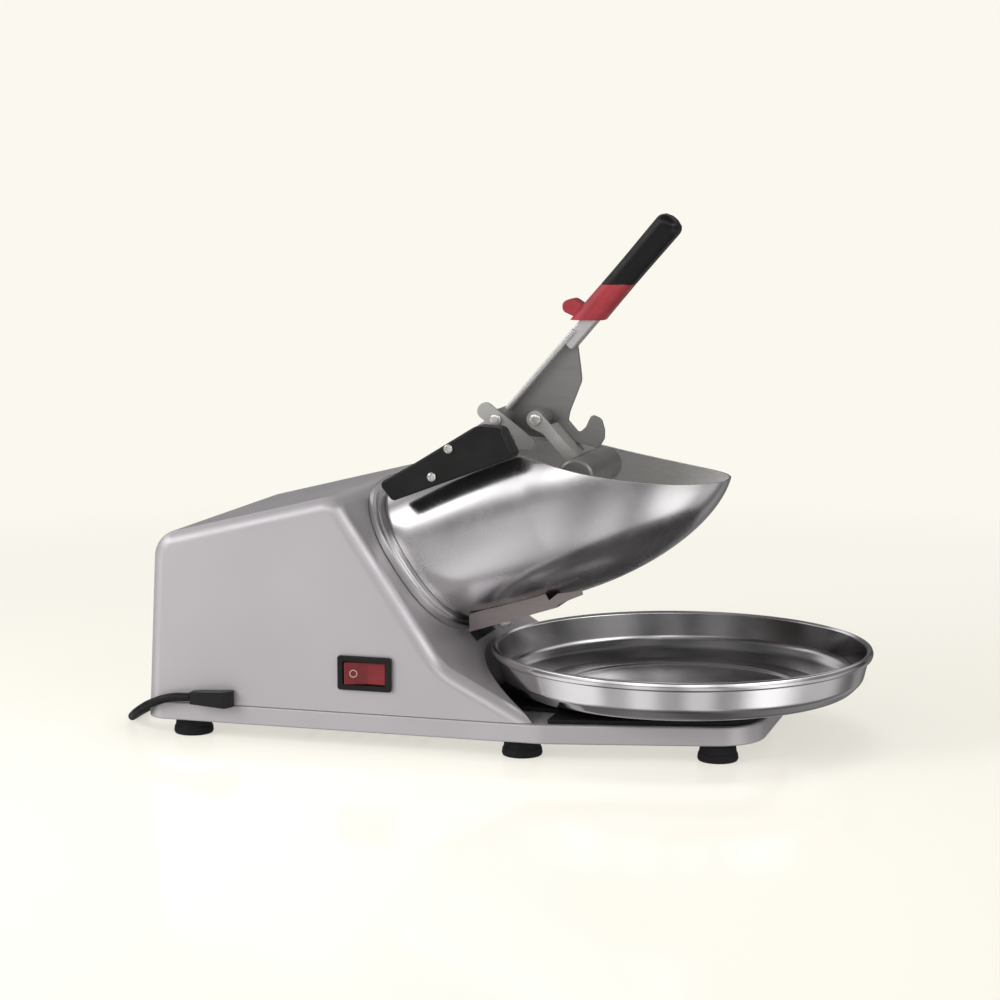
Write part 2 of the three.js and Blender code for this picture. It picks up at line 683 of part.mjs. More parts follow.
const leftCover = makeCover();
for (const [side, sign] of [['left', 1], ['right', -1]]) {
  const solid = sign === 1 ? leftCover : leftCover.mirror([0, 1, 0]);
  addPiece(`hinge_cover_${side}`, solid, BLACK);
  COVER_SCREWS.forEach(([x, z], i) => {
    const screw = addPiece(`cover_screw_${side}_${i + 1}`, coverScrew(), STEEL);
    screw.position.set(x, -sign * COVER_OUTER, z);
    screw.rotation.z = sign === 1 ? 0 : Math.PI;
  });
}

// ---------------------------------------------------------------- hinge bracket and pins
const BRACKET_LEG = [
  [-46, 157.5], [-26, 167.5], [-4, 164.5], [7, 169.6], [-6, 180], [-18, 182], [-24, 178, 3],
  [-30, 172, 6], [-44, 164.5, 3],
];
const BRACKET_WEB = [[-46, 157.5], [-26, 167], [-26, 171.4], [-46, 162]];
const STRAP_ANGLE = THREE.MathUtils.degToRad(127.4);
const STRAP_HALF_WIDTH = 4.9;
const STRAP_LENGTH = 27;
const STRAP_TAB = 12.6;

// A strap along the bracket's arm, reaching past the hinge by the given tail.
function strap(tail, low, high) {
  const outline = [
    [-STRAP_HALF_WIDTH, -tail, 4.4], [STRAP_HALF_WIDTH, -tail, 4.4],
    [STRAP_HALF_WIDTH, STRAP_LENGTH, 3], [-STRAP_HALF_WIDTH, STRAP_LENGTH, 3],
  ];
  return toSolid(inFrame(tilted(HINGE, STRAP_ANGLE), profile(outline, low, high, 0, 4)));
}

function makeBracket() {
  const inside = BRACKET_OUTER - BRACKET_SKIN;
  const left = join(
    toSolid(profile(BRACKET_LEG, -BRACKET_OUTER, -inside, 0, 3)),
    strap(STRAP_TAB, -BRACKET_OUTER, -inside),
  );
  const right = join(
    toSolid(profile(BRACKET_LEG, inside, BRACKET_OUTER, 0, 3)),
    strap(6, inside, BRACKET_OUTER),
  );
  const plate = toSolid(profile(BRACKET_WEB, -BRACKET_OUTER, BRACKET_OUTER));
  const pinHole = toSolid(crossRod(PIN_HOLE_RADIUS, HINGE, -40, 40));
  return cut(join(left, right, plate), hopperEnvelope(0.4), pinHole);
}
addPiece('hinge_bracket', makeBracket(), STEEL);

// A pin along Y with a chamfered head at both ends.
function pin(radius, halfLength, headRadius, headHeight) {
  const chamfer = headHeight / 3;
  const end = halfLength + headHeight;
  const half = [
    [radius, halfLength + GAP], [headRadius, halfLength + GAP], [headRadius, end - chamfer],
    [headRadius - chamfer, end], [0, end],
  ];
  const otherHalf = half.toReversed().map(([r, y]) => [r, -y]);
  return spun([...otherHalf, ...half], 18).rotateX(Math.PI / 2);
}
const hingePin = pin(PIN_RADIUS, BRACKET_OUTER, 3.3, 2.4);
addPiece('hinge_pin', hingePin, STEEL).position.set(HINGE[0], 0, HINGE[1]);

// ---------------------------------------------------------------- lever, grip and press
const lever = groupAt(HINGE, LEVER_ANGLE);

// The lever is a flat bar along its back with an upright fin, whose hook catches the press arm.
const FIN = [
  [-3, -8, 5], [-3, 66, 0], [2.5, 64.8, 3], [5.1, 59.3, 4], [10, 54.9, 0], [14.2, 51.2, 8],
  [20, 45.8, 8], [23.1, 37, 0], [26.4, 27.4, 6], [29.2, 22.6, 4], [38.6, 20.7, 3.5],
  [39.4, 27.3, 3], [37.2, 34.9, 2], [43, 36.9, 4], [48.6, 33.3, 4], [52, 29.3, 3],
  [53, 22.9, 1], [45, 18.9, 0], [31, 10.3, 10], [16, -1, 10], [8, -8, 6],
];
const BAR_BACK = -3;
const BAR_FRONT = 0;

function makeLever() {
  const fin = toSolid(profile(FIN.toReversed(), -FIN_HALF_THICKNESS, FIN_HALF_THICKNESS, 0, 4));
  const bar = toSolid(box([BAR_BACK, -BAR_HALF_WIDTH, -5.5], [BAR_FRONT, BAR_HALF_WIDTH, 66]));
  const neck = toSolid(box([BAR_BACK, -TANG_HALF_WIDTH, 56], [TANG_FRONT, TANG_HALF_WIDTH, 142]));
  const hingeReach = BRACKET_OUTER - BRACKET_SKIN - 0.4;
  const linkReach = LINK_OUTER - LINK_SKIN - 0.4;
  const hingeHub = toSolid(crossRod(HUB_RADIUS, [0, 0], -hingeReach, hingeReach));
  const linkHub = toSolid(crossRod(HUB_RADIUS, LINK_PIVOT, -linkReach, linkReach));
  const hingeHole = toSolid(crossRod(PIN_HOLE_RADIUS, [0, 0], -30, 30));
  const linkHole = toSolid(crossRod(PIN_HOLE_RADIUS, LINK_PIVOT, -30, 30));
  return cut(join(fin, bar, neck, hingeHub, linkHub), hingeHole, linkHole);
}
addPiece('lever', makeLever(), DARK_STEEL, lever);

const GRIP_START = 68;
const GRIP_END = 151.5;
const GRIP_HALF = 7.6;
const GRIP_HALF_WIDTH = 9.4;
const GRIP_SPLIT = 102;

function gripBody() {
  const section = [
    [-GRIP_HALF, -GRIP_HALF_WIDTH, 6.5], [GRIP_HALF, -GRIP_HALF_WIDTH, 6.5],
    [GRIP_HALF, GRIP_HALF_WIDTH, 6.5], [-GRIP_HALF, GRIP_HALF_WIDTH, 6.5],
  ];
  const shape = new THREE.Shape(roundedPoints(section, 4));
  const geometry = new THREE.ExtrudeGeometry(shape, {
    depth: GRIP_END - GRIP_START - 8,
    bevelThickness: 4,
    bevelSize: 4,
    bevelOffset: -4,
    bevelSegments: 3,
  });
  return toSolid(geometry.translate(-0.2, 0, GRIP_START + 4));
}

// A slab of space across the grip; both its faces are level when the lever stands at rest.
function levelSlab(low, high) {
  const slabBox = box([-60, -40, low], [60, 40, high]);
  slabBox.rotateY(-LEVER_ANGLE);
  return slabBox;
}

const tangHole = toSolid(box(
  [-3 - GAP, -TANG_HALF_WIDTH - GAP, 40],
  [TANG_FRONT + GAP, TANG_HALF_WIDTH + GAP, 142 + GAP],
));

function makeBlackGrip() {
  const upper = levelSlab(0, 200).translate(0, 0, GRIP_SPLIT + GAP);
  return cut(gripBody().intersect(toSolid(upper)), tangHole);
}

function makeRedGrip() {
  const band = levelSlab(-200, 0).translate(0, 0, GRIP_SPLIT);
  const clearOfFin = levelSlab(0, 200).translate(0, 0, 75);
  const guard = [[-5, 70], [-13.2, 70.4, 1.5], [-17, 74, 2], [-14, 78, 2.5], [-5, 81]];
  const guardSolid = toSolid(profile(guard.toReversed(), -6, 6, 0, 3));
  const sleeve = gripBody().intersect(toSolid(band)).intersect(toSolid(clearOfFin));
  return cut(join(sleeve, guardSolid), tangHole);
}
addPiece('grip_handle', makeBlackGrip(), BLACK, lever);
addPiece('grip_guard', makeRedGrip(), RED, lever);

// The heads are low, because they pass inside the bracket's legs when the lever swings back.
const linkPin = pin(PIN_RADIUS, LINK_OUTER, 3.3, 1.5);
addPiece('link_pin', linkPin, STEEL, lever).position.set(LINK_PIVOT[0], 0, LINK_PIVOT[1]);

const press = new THREE.Group();
press.position.set(LINK_PIVOT[0], 0, LINK_PIVOT[1]);
press.rotation.y = LINK_ANGLE - LEVER_ANGLE;
lever.add(press);

const PRESS_CENTRE = 41.4;
const PRESS_RADIUS = 10.4;
const PRESS_HALF_LENGTH = 35;
const LINK_LENGTH = 36;

// Two ears on the pin, each with a flange turned in towards the fin, and a bridge behind the roller.
const LINK_FRONT = -4.7;
const LINK_BACK = 2;
const FLANGE_INNER = FIN_HALF_THICKNESS + 0.9;

function makeLink() {
  const inner = LINK_OUTER - LINK_SKIN;
  const ear = [
    [LINK_FRONT, LINK_LENGTH], [LINK_FRONT, 2, 1], [-5, -5, 4.6], [5, -5, 4.6], [5, 2, 3],
    [LINK_BACK, 9, 3], [LINK_BACK, LINK_LENGTH],
  ];
  const left = toSolid(profile(ear, -LINK_OUTER, -inner, 0, 4));
  const right = toSolid(profile(ear, inner, LINK_OUTER, 0, 4));
  const flangeLow = [LINK_FRONT, FLANGE_INNER, 8];
  const flangeHigh = [LINK_FRONT + LINK_SKIN, inner + 1, LINK_LENGTH];
  const rightFlange = toSolid(box(flangeLow, flangeHigh));
  const leftFlange = rightFlange.mirror([0, 1, 0]);
  const bridge = toSolid(box([LINK_FRONT, -LINK_OUTER, 30], [LINK_BACK, LINK_OUTER, LINK_LENGTH]));
  const pinHole = toSolid(crossRod(PIN_HOLE_RADIUS, [0, 0], -30, 30));
  const seat = toSolid(crossRod(PRESS_RADIUS + GAP, [0, PRESS_CENTRE], -40, 40, 28));
  return cut(join(left, right, leftFlange, rightFlange, bridge), pinHole, seat);
}
addPiece('press_link', makeLink(), STEEL, press);
addPiece(
  'press_roller',
  crossRod(PRESS_RADIUS, [0, PRESS_CENTRE], -PRESS_HALF_LENGTH, PRESS_HALF_LENGTH, 28),
  DARK_STEEL,
  press,
);

// ---------------------------------------------------------------- mains lead
const GLAND_OUTER_Y = -99.3;
const GLAND_TIP_X = -172;
const CORD_Y = -95;

function makeGland() {
  const block = [
    [GLAND_TIP_X, CORD_Y - 3.2, 1], [-150, GLAND_OUTER_Y, 2], [-147.5, -90.3 - 4, 2], [-147.5, -90.3],
    [-166, -90.3], [GLAND_TIP_X, CORD_Y + 3.2, 1],
  ];
  const body = toSolid(slab(block, 20.9, 30.3, 3));
  const side = [
    [GLAND_TIP_X - 1, GLAND_Z - 3.4], [-150, GLAND_Z - 4.7], [-140, GLAND_Z - 4.7],
    [-140, GLAND_Z + 4.7], [-150, GLAND_Z + 4.7], [GLAND_TIP_X - 1, GLAND_Z + 3.4],
  ];
  const taper = toSolid(profile(side, -110, -80));
  const neck = toSolid(crossRod(4, [GLAND_X, GLAND_Z], -91, -84));
  return join(body.intersect(taper), neck);
}
addPiece('cord_gland', makeGland(), BLACK);

const CORD_FLOOR = 2.8;
const CORD_ROUTE = [
  [GLAND_TIP_X - 0.4, CORD_Y, GLAND_Z], [-184, -95, 24.8], [-197, -93.5, 20.5], [-208, -87, 14.2],
  [-217, -76, 8.2], [-224, -61, 4.1], [-227.5, -42, CORD_FLOOR], [-228, -20, CORD_FLOOR],
  [-227.5, 5, CORD_FLOOR], [-226, 30, CORD_FLOOR], [-222, 54, CORD_FLOOR], [-214, 76, CORD_FLOOR],
  [-200, 95, CORD_FLOOR], [-181, 107, CORD_FLOOR], [-160, 111.5, CORD_FLOOR], [-141, 112, CORD_FLOOR],
  [-126, 111.7, CORD_FLOOR],
];

function makeCordLead() {
  const route = CORD_ROUTE.map((point) => new THREE.Vector3(...point));
  const sides = 8;
  const section = new THREE.Shape();
  for (let i = 0; i < sides; i += 1) {
    const angle = 2 * Math.PI * (i + 0.5) / sides;
    const corner = [CORD_RADIUS * Math.cos(angle), CORD_RADIUS * Math.sin(angle)];
    if (i === 0) {
      section.moveTo(...corner);
    } else {
      section.lineTo(...corner);
    }
  }
  return new THREE.ExtrudeGeometry(section, {
    steps: 36,
    bevelEnabled: false,
    extrudePath: new THREE.CatmullRomCurve3(route, false, 'centripetal'),
  });
}
addPiece('cord_lead', makeCordLead(), BLACK);

const COIL_CENTRE = [-120, 150];
const COIL_MEAN_RADIUS = 27.5;
const COIL_HALF_WIDTH = 7.9;
const COIL_LOW = 0.1;
const COIL_HIGH = 10.5;
const TIE_HALF_WIDTH = 2;
const TIE_SKIN = 0.8;

function makeCoil() {
  const inner = COIL_MEAN_RADIUS - COIL_HALF_WIDTH;
  const outer = COIL_MEAN_RADIUS + COIL_HALF_WIDTH;
  const edge = 1.2;
  const coil = toSolid(spun([
    [inner, COIL_LOW + edge], [inner + edge, COIL_LOW], [outer - edge, COIL_LOW], [outer, COIL_LOW + edge],
    [outer, COIL_HIGH - edge], [outer - edge, COIL_HIGH], [inner + edge, COIL_HIGH],
    [inner, COIL_HIGH - edge], [inner, COIL_LOW + edge],
  ], 32));
  const groove = toSolid(box(
    [10, -TIE_HALF_WIDTH - GAP, COIL_LOW - 1],
    [50, TIE_HALF_WIDTH + GAP, COIL_LOW + TIE_SKIN + GAP],
  ));
  return cut(coil, groove);
}
addPiece('cord_coil', makeCoil(), BLACK).position.set(...COIL_CENTRE, 0);

function makeTie() {
  const room = COIL_HALF_WIDTH + 0.5;
  const band = toSolid(box(
    [COIL_MEAN_RADIUS - room - TIE_SKIN, -TIE_HALF_WIDTH, COIL_LOW],
    [COIL_MEAN_RADIUS + room + TIE_SKIN, TIE_HALF_WIDTH, COIL_HIGH + GAP + TIE_SKIN],
  ));
  const opening = toSolid(box(
    [COIL_MEAN_RADIUS - room, -10, COIL_LOW + TIE_SKIN],
    [COIL_MEAN_RADIUS + room, 10, COIL_HIGH + GAP],
  ));
  return cut(band, opening);
}
addPiece('cord_tie', makeTie(), BLACK).position.set(...COIL_CENTRE, 0);

const PLUG_TAIL_X = -136.4;
const PLUG_Y = 184.6;
const PLUG_Z = 8.8;
const PLUG_RELIEF = 24;
const PLUG_LENGTH = 34;
const PLUG_HALF_WIDTH = 12;
const PLUG_HALF_HEIGHT = 8.4;
const PRONG_LENGTH = 16;
const PRONG_SPACING = 12.7;

function makePlug() {
  const relief = toSolid(rod(3, 4.4, 0, PLUG_RELIEF + 2, 16));
  const outline = [
    [-PLUG_HALF_HEIGHT, -PLUG_HALF_WIDTH, 4], [PLUG_HALF_HEIGHT, -PLUG_HALF_WIDTH, 4],
    [PLUG_HALF_HEIGHT, PLUG_HALF_WIDTH, 4], [-PLUG_HALF_HEIGHT, PLUG_HALF_WIDTH, 4],
  ];
  let plug = join(relief, toSolid(slab(outline, PLUG_RELIEF, PLUG_RELIEF + PLUG_LENGTH, 3)));
  const face = PLUG_RELIEF + PLUG_LENGTH;
  for (const side of [-1, 1]) {
    const y = side * PRONG_SPACING / 2;
    plug = join(plug, toSolid(box([-3.2, y - 0.75, face - 3], [3.2, y + 0.75, face + PRONG_LENGTH])));
  }
  return plug;
}
const plug = addPiece('power_plug', makePlug(), BLACK);
plug.position.set(PLUG_TAIL_X, PLUG_Y, PLUG_Z);
plug.rotation.y = -Math.PI / 2;

export default machine;
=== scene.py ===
import math

import bmesh
import bpy
from mathutils import Matrix, Vector


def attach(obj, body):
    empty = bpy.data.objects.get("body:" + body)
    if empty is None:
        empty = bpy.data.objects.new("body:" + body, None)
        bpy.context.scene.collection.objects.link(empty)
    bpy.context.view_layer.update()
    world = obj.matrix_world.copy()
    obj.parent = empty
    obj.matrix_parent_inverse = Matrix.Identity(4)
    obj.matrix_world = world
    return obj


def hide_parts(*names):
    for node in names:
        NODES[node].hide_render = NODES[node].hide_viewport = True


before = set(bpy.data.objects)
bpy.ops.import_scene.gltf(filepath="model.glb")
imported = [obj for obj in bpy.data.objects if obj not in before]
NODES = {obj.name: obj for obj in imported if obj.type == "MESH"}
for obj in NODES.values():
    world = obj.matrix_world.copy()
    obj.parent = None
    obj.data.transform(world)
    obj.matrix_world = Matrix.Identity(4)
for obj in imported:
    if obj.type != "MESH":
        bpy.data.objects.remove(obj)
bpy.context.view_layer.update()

# A countertop shaved ice machine. Shapes are made in millimetres and scaled to metres in add_piece.
MM = 0.001
BOWL_X = 94
BODY = "machine"
scene = bpy.context.scene

# ---------------------------------------------------------------- camera
camera = bpy.data.objects.new("camera", bpy.data.cameras.new("camera"))
scene.collection.objects.link(camera)
scene.camera = camera
camera.location = (0.392, -1.393, 0.332)
camera.rotation_euler = (math.radians(82.2), 0, math.radians(16.3))
camera.data.lens = 90
camera.data.sensor_width = 36
scene.view_settings.view_transform = "Standard"


# ---------------------------------------------------------------- materials
class Recipe:
    """A principled material whose textures use the object's own coordinates, in metres."""

    def __init__(self, name, color, metallic, roughness, **sockets):
        self.material = bpy.data.materials.new(name)
        self.material.use_nodes = True
        self.tree = self.material.node_tree
        self.shader = self.tree.nodes["Principled BSDF"]
        self.color = (*color, 1)
        self.roughness = roughness
        self.set("Base Color", self.color)
        self.set("Metallic", metallic)
        self.set("Roughness", roughness)
        for socket, value in sockets.items():
            self.set(socket.replace("_", " "), value)
        self.place = self.add("ShaderNodeTexCoord").outputs["Object"]
        self.height = None

    def set(self, socket, value):
        self.shader.inputs[socket].default_value = value

    def add(self, kind, **settings):
        node = self.tree.nodes.new(kind)
        for key, value in settings.items():
            setattr(node, key, value)
        return node

    def link(self, out, into):
        self.tree.links.new(out, into)

    def stretched(self, scale, shift=(0, 0, 0), turn=(0, 0, 0)):
        node = self.add("ShaderNodeMapping")
        node.inputs["Scale"].default_value = scale
        node.inputs["Location"].default_value = shift
        node.inputs["Rotation"].default_value = turn
        self.link(self.place, node.inputs["Vector"])
        return node.outputs["Vector"]

    def noise(self, scale, detail=2.0, rough=0.5, vector=None):
        node = self.add("ShaderNodeTexNoise")
        node.inputs["Scale"].default_value = scale
        node.inputs["Detail"].default_value = detail
        node.inputs["Roughness"].default_value = rough
        self.link(vector or self.place, node.inputs["Vector"])
        return node.outputs["Fac"]

    def ranged(self, value, low, high, start=0.3, end=0.7):
        node = self.add("ShaderNodeMapRange")
        for key, number in (("From Min", start), ("From Max", end), ("To Min", low), ("To Max", high)):
            node.inputs[key].default_value = number
        self.link(value, node.inputs["Value"])
        return node.outputs["Result"]

    def tint(self, value, dark, light, start=0.3, end=0.7):
        """The base colour runs from dark to light times the recipe's colour."""
        node = self.add("ShaderNodeMix", data_type="RGBA")
        node.inputs["A"].default_value = (*[c * dark for c in self.color[:3]], 1)
        node.inputs["B"].default_value = (*[min(1, c * light) for c in self.color[:3]], 1)
        self.link(self.ranged(value, 0, 1, start, end), node.inputs["Factor"])
        self.link(node.outputs["Result"], self.shader.inputs["Base Color"])
        return self

    def gloss(self, value, low, high, start=0.3, end=0.7):
        self.link(self.ranged(value, low, high, start, end), self.shader.inputs["Roughness"])
        return self

    def bump(self, value, strength, distance):
        node = self.add("ShaderNodeBump")
        node.inputs["Strength"].default_value = strength
        node.inputs["Distance"].default_value = distance
        self.link(value, node.inputs["Height"])
        if self.height is not None:
            self.link(self.height, node.inputs["Normal"])
        self.height = node.outputs["Normal"]
        self.link(self.height, self.shader.inputs["Normal"])
        return self


def satin_paint():
    paint = Recipe("satin_silver_paint", (0.55, 0.53, 0.56), 0.5, 0.37, Coat_Weight=0.1, Coat_Roughness=0.35)
    flakes = paint.noise(3200, 1)
    clouds = paint.noise(9, 3)
    blend = paint.add("ShaderNodeMath", operation="MULTIPLY_ADD")
    blend.inputs[1].default_value = 0.35
    paint.link(flakes, blend.inputs[0])
    paint.link(paint.ranged(clouds, 0.2, 0.45), blend.inputs[2])
    paint.tint(blend.outputs[0], 0.9, 1.1, 0.3, 0.85)
    paint.gloss(paint.noise(60, 3), 0.32, 0.41)
    return paint.bump(paint.noise(900, 2), 0.12, 0.0001).bump(flakes, 0.05, 0.00005).material


def polished(name, dull, bright, ring_centre=None, shade=1.0):
    """Polished steel whose roughness runs from bright to dull over its smudges and hairlines; a shade below 1 darkens
    its colour, to paint shade into it.
    """
    steel = Recipe(name, (0.78 * shade, 0.765 * shade, 0.77 * shade), 1.0, dull)
    hairlines = steel.noise(1, 3, 0.6, steel.stretched((1400, 30, 1400), turn=(0.2, 0.4, 0.1)))
    smudges = steel.noise(34, 3, 0.6)
    mixed = steel.add("ShaderNodeMath", operation="MULTIPLY_ADD")
    mixed.inputs[1].default_value = 0.45
    steel.link(hairlines, mixed.inputs[0])
    steel.link(steel.ranged(smudges, 0.1, 0.5), mixed.inputs[2])
    steel.gloss(mixed.outputs[0], bright, dull, 0.25, 0.75)
    steel.tint(smudges, 0.94, 1.04)
    steel.bump(steel.noise(16, 1), 0.05, 0.003)
    if ring_centre:
        rings = steel.add("ShaderNodeTexWave", wave_type="RINGS", rings_direction="Z")
        rings.inputs["Scale"].default_value = 260
        rings.inputs["Distortion"].default_value = 3
        rings.inputs["Detail"].default_value = 3
        steel.link(steel.stretched((1, 1, 0), tuple(-c for c in ring_centre)), rings.inputs["Vector"])
        steel.bump(rings.outputs["Fac"], 0.035, 0.00012)
    return steel.bump(hairlines, 0.03, 0.00006).material


def brushed(name, color, roughness, along, turn=(0, 0, 0)):
    metal = Recipe(name, color, 0.7, roughness)
    lines = metal.noise(1, 4, 0.6, metal.stretched(along, turn=turn))
    metal.tint(lines, 0.93, 1.05)
    metal.gloss(metal.noise(120, 3), roughness - 0.04, roughness + 0.04)
    return metal.bump(lines, 0.08, 0.00004).material


def grained(name, color, roughness, grain, depth, **sockets):
    plain = Recipe(name, color, 0.0, roughness, Specular_IOR_Level=0.3, **sockets)
    texture = plain.noise(grain, 3, 0.6)
    plain.tint(plain.noise(70, 3), 0.8, 1.3)
    plain.gloss(plain.noise(160, 3), roughness - 0.08, roughness + 0.08)
    return plain.bump(texture, 0.35, depth).material


def cast(name, color):
    metal = Recipe(name, color, 0.85, 0.45)
    metal.tint(metal.noise(90, 4), 0.8, 1.1)
    metal.gloss(metal.noise(300, 3), 0.36, 0.56)
    return metal.bump(metal.noise(1500, 4, 0.6), 0.3, 0.00015).material


PAINT = satin_paint()
POLISHED = polished("polished_steel", 0.3, 0.19)
SPUN = polished("spun_polished_steel", 0.2, 0.09, (BOWL_X * MM, 0, 0))
# The bowl's inside is the same spun steel at 0.55 of its colour: painted shade standing in for the dark reflections
# inside the dish.
BOWL_INSIDE_PAINTED_SHADE = polished("spun_steel_inside_painted_shade", 0.24, 0.12, (BOWL_X * MM, 0, 0), 0.55)
SATIN = polished("satin_steel", 0.42, 0.3)
# The hopper's inside: a brushed satin finish, with its colour painted paler than the outside steel as a painted
# reflection.
INSIDE = brushed("satin_inside_painted_light", (0.92, 0.91, 0.9), 0.45, (300, 300, 900))
STEEL = brushed("brushed_steel", (0.62, 0.61, 0.6), 0.3, (60, 900, 900))
DARK_STEEL = brushed("dark_steel", (0.3, 0.292, 0.288), 0.38, (60, 900, 900), (0, -0.86, 0))
# The hopper support is plain steel; this copy is painted about half as bright: painted shade for the shade under the
# hopper.
SHADED_STRIP_STEEL = brushed("support_strip_steel_painted_shade", (0.3, 0.262, 0.262), 0.34, (60, 900, 900))
# The lever's bar is the same steel as its dark fin; its lighter colour is a painted highlight for light caught on the
# bend between bar and fin.
LIT_BAR_STEEL = brushed("lever_bar_steel_painted_highlight", (0.66, 0.65, 0.66), 0.3, (60, 900, 900), (0, -0.86, 0))
BRIGHT = brushed("turned_steel", (0.72, 0.71, 0.7), 0.22, (900, 60, 900))
CAST = cast("cast_aluminium", (0.52, 0.52, 0.53))
ENAMEL = cast("motor_enamel", (0.06, 0.065, 0.07))
RUBBER = grained("black_rubber", (0.008, 0.008, 0.009), 0.68, 700, 0.0002)
PLASTIC = grained("black_plastic", (0.009, 0.0088, 0.009), 0.42, 2600, 0.00012)
GRIP = grained("black_grip", (0.006, 0.0055, 0.006), 0.34, 1500, 0.0001)
JACKET = grained("cord_jacket", (0.007, 0.007, 0.007), 0.45, 1200, 0.0001)
RED = grained("red_plastic", (0.3, 0.03, 0.042), 0.36, 1300, 0.0001, Coat_Weight=0.2)
LENS = grained("red_lens", (0.16, 0.016, 0.02), 0.22, 500, 0.00003, Coat_Weight=0.5, Coat_Roughness=0.08)
MARK = grained("pale_mark", (0.6, 0.4, 0.4), 0.4, 900, 0.00004)


# ---------------------------------------------------------------- outlines
def rounded(corners, steps=8):
    """The points of a polygon whose corners (x, y, radius) are rounded with arcs."""
    points = []
    for i, (x, y, *rest) in enumerate(corners):
        radius = rest[0] if rest else 0
        corner = Vector((x, y))
        if radius == 0:
            points.append(corner)
            continue
        before = (Vector(corners[i - 1][:2]) - corner).normalized()
        after = (Vector(corners[(i + 1) % len(corners)][:2]) - corner).normalized()
        half = math.acos(max(-1, min(1, before.dot(after)))) / 2
        centre = corner + (before + after).normalized() * radius / math.sin(half)
        start = corner + before * radius / math.tan(half) - centre
        end = corner + after * radius / math.tan(half) - centre
        sweep = math.atan2(start.cross(end), start.dot(end))
        for step in range(steps + 1):
            points.append(centre + Matrix.Rotation(sweep * step / steps, 2) @ start)
    return points


def inset(corners, distance):
    """Moves every side of a counter-clockwise polygon inwards and keeps its arcs concentric."""
    moved = []
    for i, (x, y, *rest) in enumerate(corners):
        radius = rest[0] if rest else 0
        corner = Vector((x, y))
        into = (corner - Vector(corners[i - 1][:2])).normalized()
        out = (Vector(corners[(i + 1) % len(corners)][:2]) - corner).normalized()
        normal = Vector((-into.y - out.y, into.x + out.x)).normalized()
        reach = distance / (normal.x * -into.y + normal.y * into.x)
        convex = into.cross(out) > 0
        place = corner + normal * reach
        grown = max(radius + (-distance if convex else distance), 0.3) if radius else 0
        moved.append((place.x, place.y, grown))
    return moved


def ring_points(count, half_x, half_y, squareness=2.0):
    points = []
    for i in range(count):
        angle = 2 * math.pi * i / count
        reach = square_reach(angle, squareness)
        points.append(Vector((half_x * reach * math.cos(angle), half_y * reach * math.sin(angle))))
    return points


def square_reach(angle, squareness):
    total = abs(math.cos(angle)) ** squareness + abs(math.sin(angle)) ** squareness
    return total ** (-1 / squareness)


# ---------------------------------------------------------------- solids, in millimetres
def loft(rings, wrap=False):
    """Joins rings of equal length with quads, and closes both ends, or the last ring to the first."""
    made = bmesh.new()
    rows = [[made.verts.new(point) for point in ring] for ring in rings]
    pairs = list(zip(rows, rows[1:]))
    if wrap:
        pairs.append((rows[-1], rows[0]))
    else:
        made.faces.new(rows[0][::-1])
        made.faces.new(rows[-1])
    for low, high in pairs:
        for i in range(len(low)):
            j = (i + 1) % len(low)
            made.faces.new((low[i], low[j], high[j], high[i]))
    bmesh.ops.recalc_face_normals(made, faces=made.faces)
    return made


def upright(a, b, height):
    return a, b, height


def across(a, b, height):
    return a, height, b


def prism(corners, low, high, edge=0.0, put=across, steps=8, edge_steps=5):
    """Extrudes a counter-clockwise outline; edge rounds the edges of both end faces."""
    if edge == 0:
        outline = rounded(corners, steps)
        return loft([[put(p.x, p.y, h) for p in outline] for h in (low, high)])
    rings = []
    for i in range(edge_steps + 1):
        angle = math.pi / 2 * i / edge_steps
        outline = rounded(inset(corners, edge * (1 - math.sin(angle))), steps)
        rings.append([put(p.x, p.y, low + edge * (1 - math.cos(angle))) for p in outline])
    for i in range(edge_steps, -1, -1):
        angle = math.pi / 2 * i / edge_steps
        outline = rounded(inset(corners, edge * (1 - math.sin(angle))), steps)
        rings.append([put(p.x, p.y, high - edge * (1 - math.cos(angle))) for p in outline])
    return loft(rings)


def block(low, high):
    corners = [(low[0], low[1]), (high[0], low[1]), (high[0], high[1]), (low[0], high[1])]
    return prism(corners, low[2], high[2], put=upright)


def lathe(profile, segments=96, steps=5):
    """Revolves (radius, height, corner radius) about Z; the profile is a closed outline, or ends on the axis."""
    points = rounded(profile, steps)
    on_axis = points[0].x == 0 and points[-1].x == 0
    made = bmesh.new()
    rows = []
    for point in points:
        if point.x == 0:
            rows.append([made.verts.new((0, 0, point.y))])
            continue
        turns = [2 * math.pi * i / segments for i in range(segments)]
        rows.append([made.verts.new((point.x * math.cos(t), point.x * math.sin(t), point.y)) for t in turns])
    for low, high in zip(rows, rows[1:] if on_axis else rows[1:] + rows[:1]):
        if len(low) == 1 and len(high) == 1:
            continue
        for i in range(segments):
            j = (i + 1) % segments
            if len(low) == 1:
                made.faces.new((low[0], high[j], high[i]))
            elif len(high) == 1:
                made.faces.new((low[i], low[j], high[0]))
            else:
                made.faces.new((low[i], low[j], high[j], high[i]))
    bmesh.ops.recalc_face_normals(made, faces=made.faces)
    return made


def rod(radius, low, high, top_radius=None, segments=96):
    """A cylinder or cone along Z."""
    rings = []
    for reach, height in ((radius, low), (radius if top_radius is None else top_radius, high)):
        rings.append([(p.x, p.y, height) for p in ring_points(segments, reach, reach)])
    return loft(rings)


def cross_rod(radius, x, z, low, high, segments=64):
    """A cylinder along Y."""
    return loft([[(x + p.x, h, z + p.y) for p in ring_points(segments, radius, radius)] for h in (low, high)])


def placed(shape, matrix):
    shape.transform(matrix)
    return shape


def tilted(x, z, degrees):
    """A frame at (x, z) whose Z axis leans from vertical towards +X."""
    return Matrix.Translation((x, 0, z)) @ Matrix.Rotation(math.radians(degrees), 4, "Y")


def bare_object(name, shape):
    mesh = bpy.data.meshes.new(name)
    shape.to_mesh(mesh)
    shape.free()
    made = bpy.data.objects.new(name, mesh)
    scene.collection.objects.link(made)
    return made


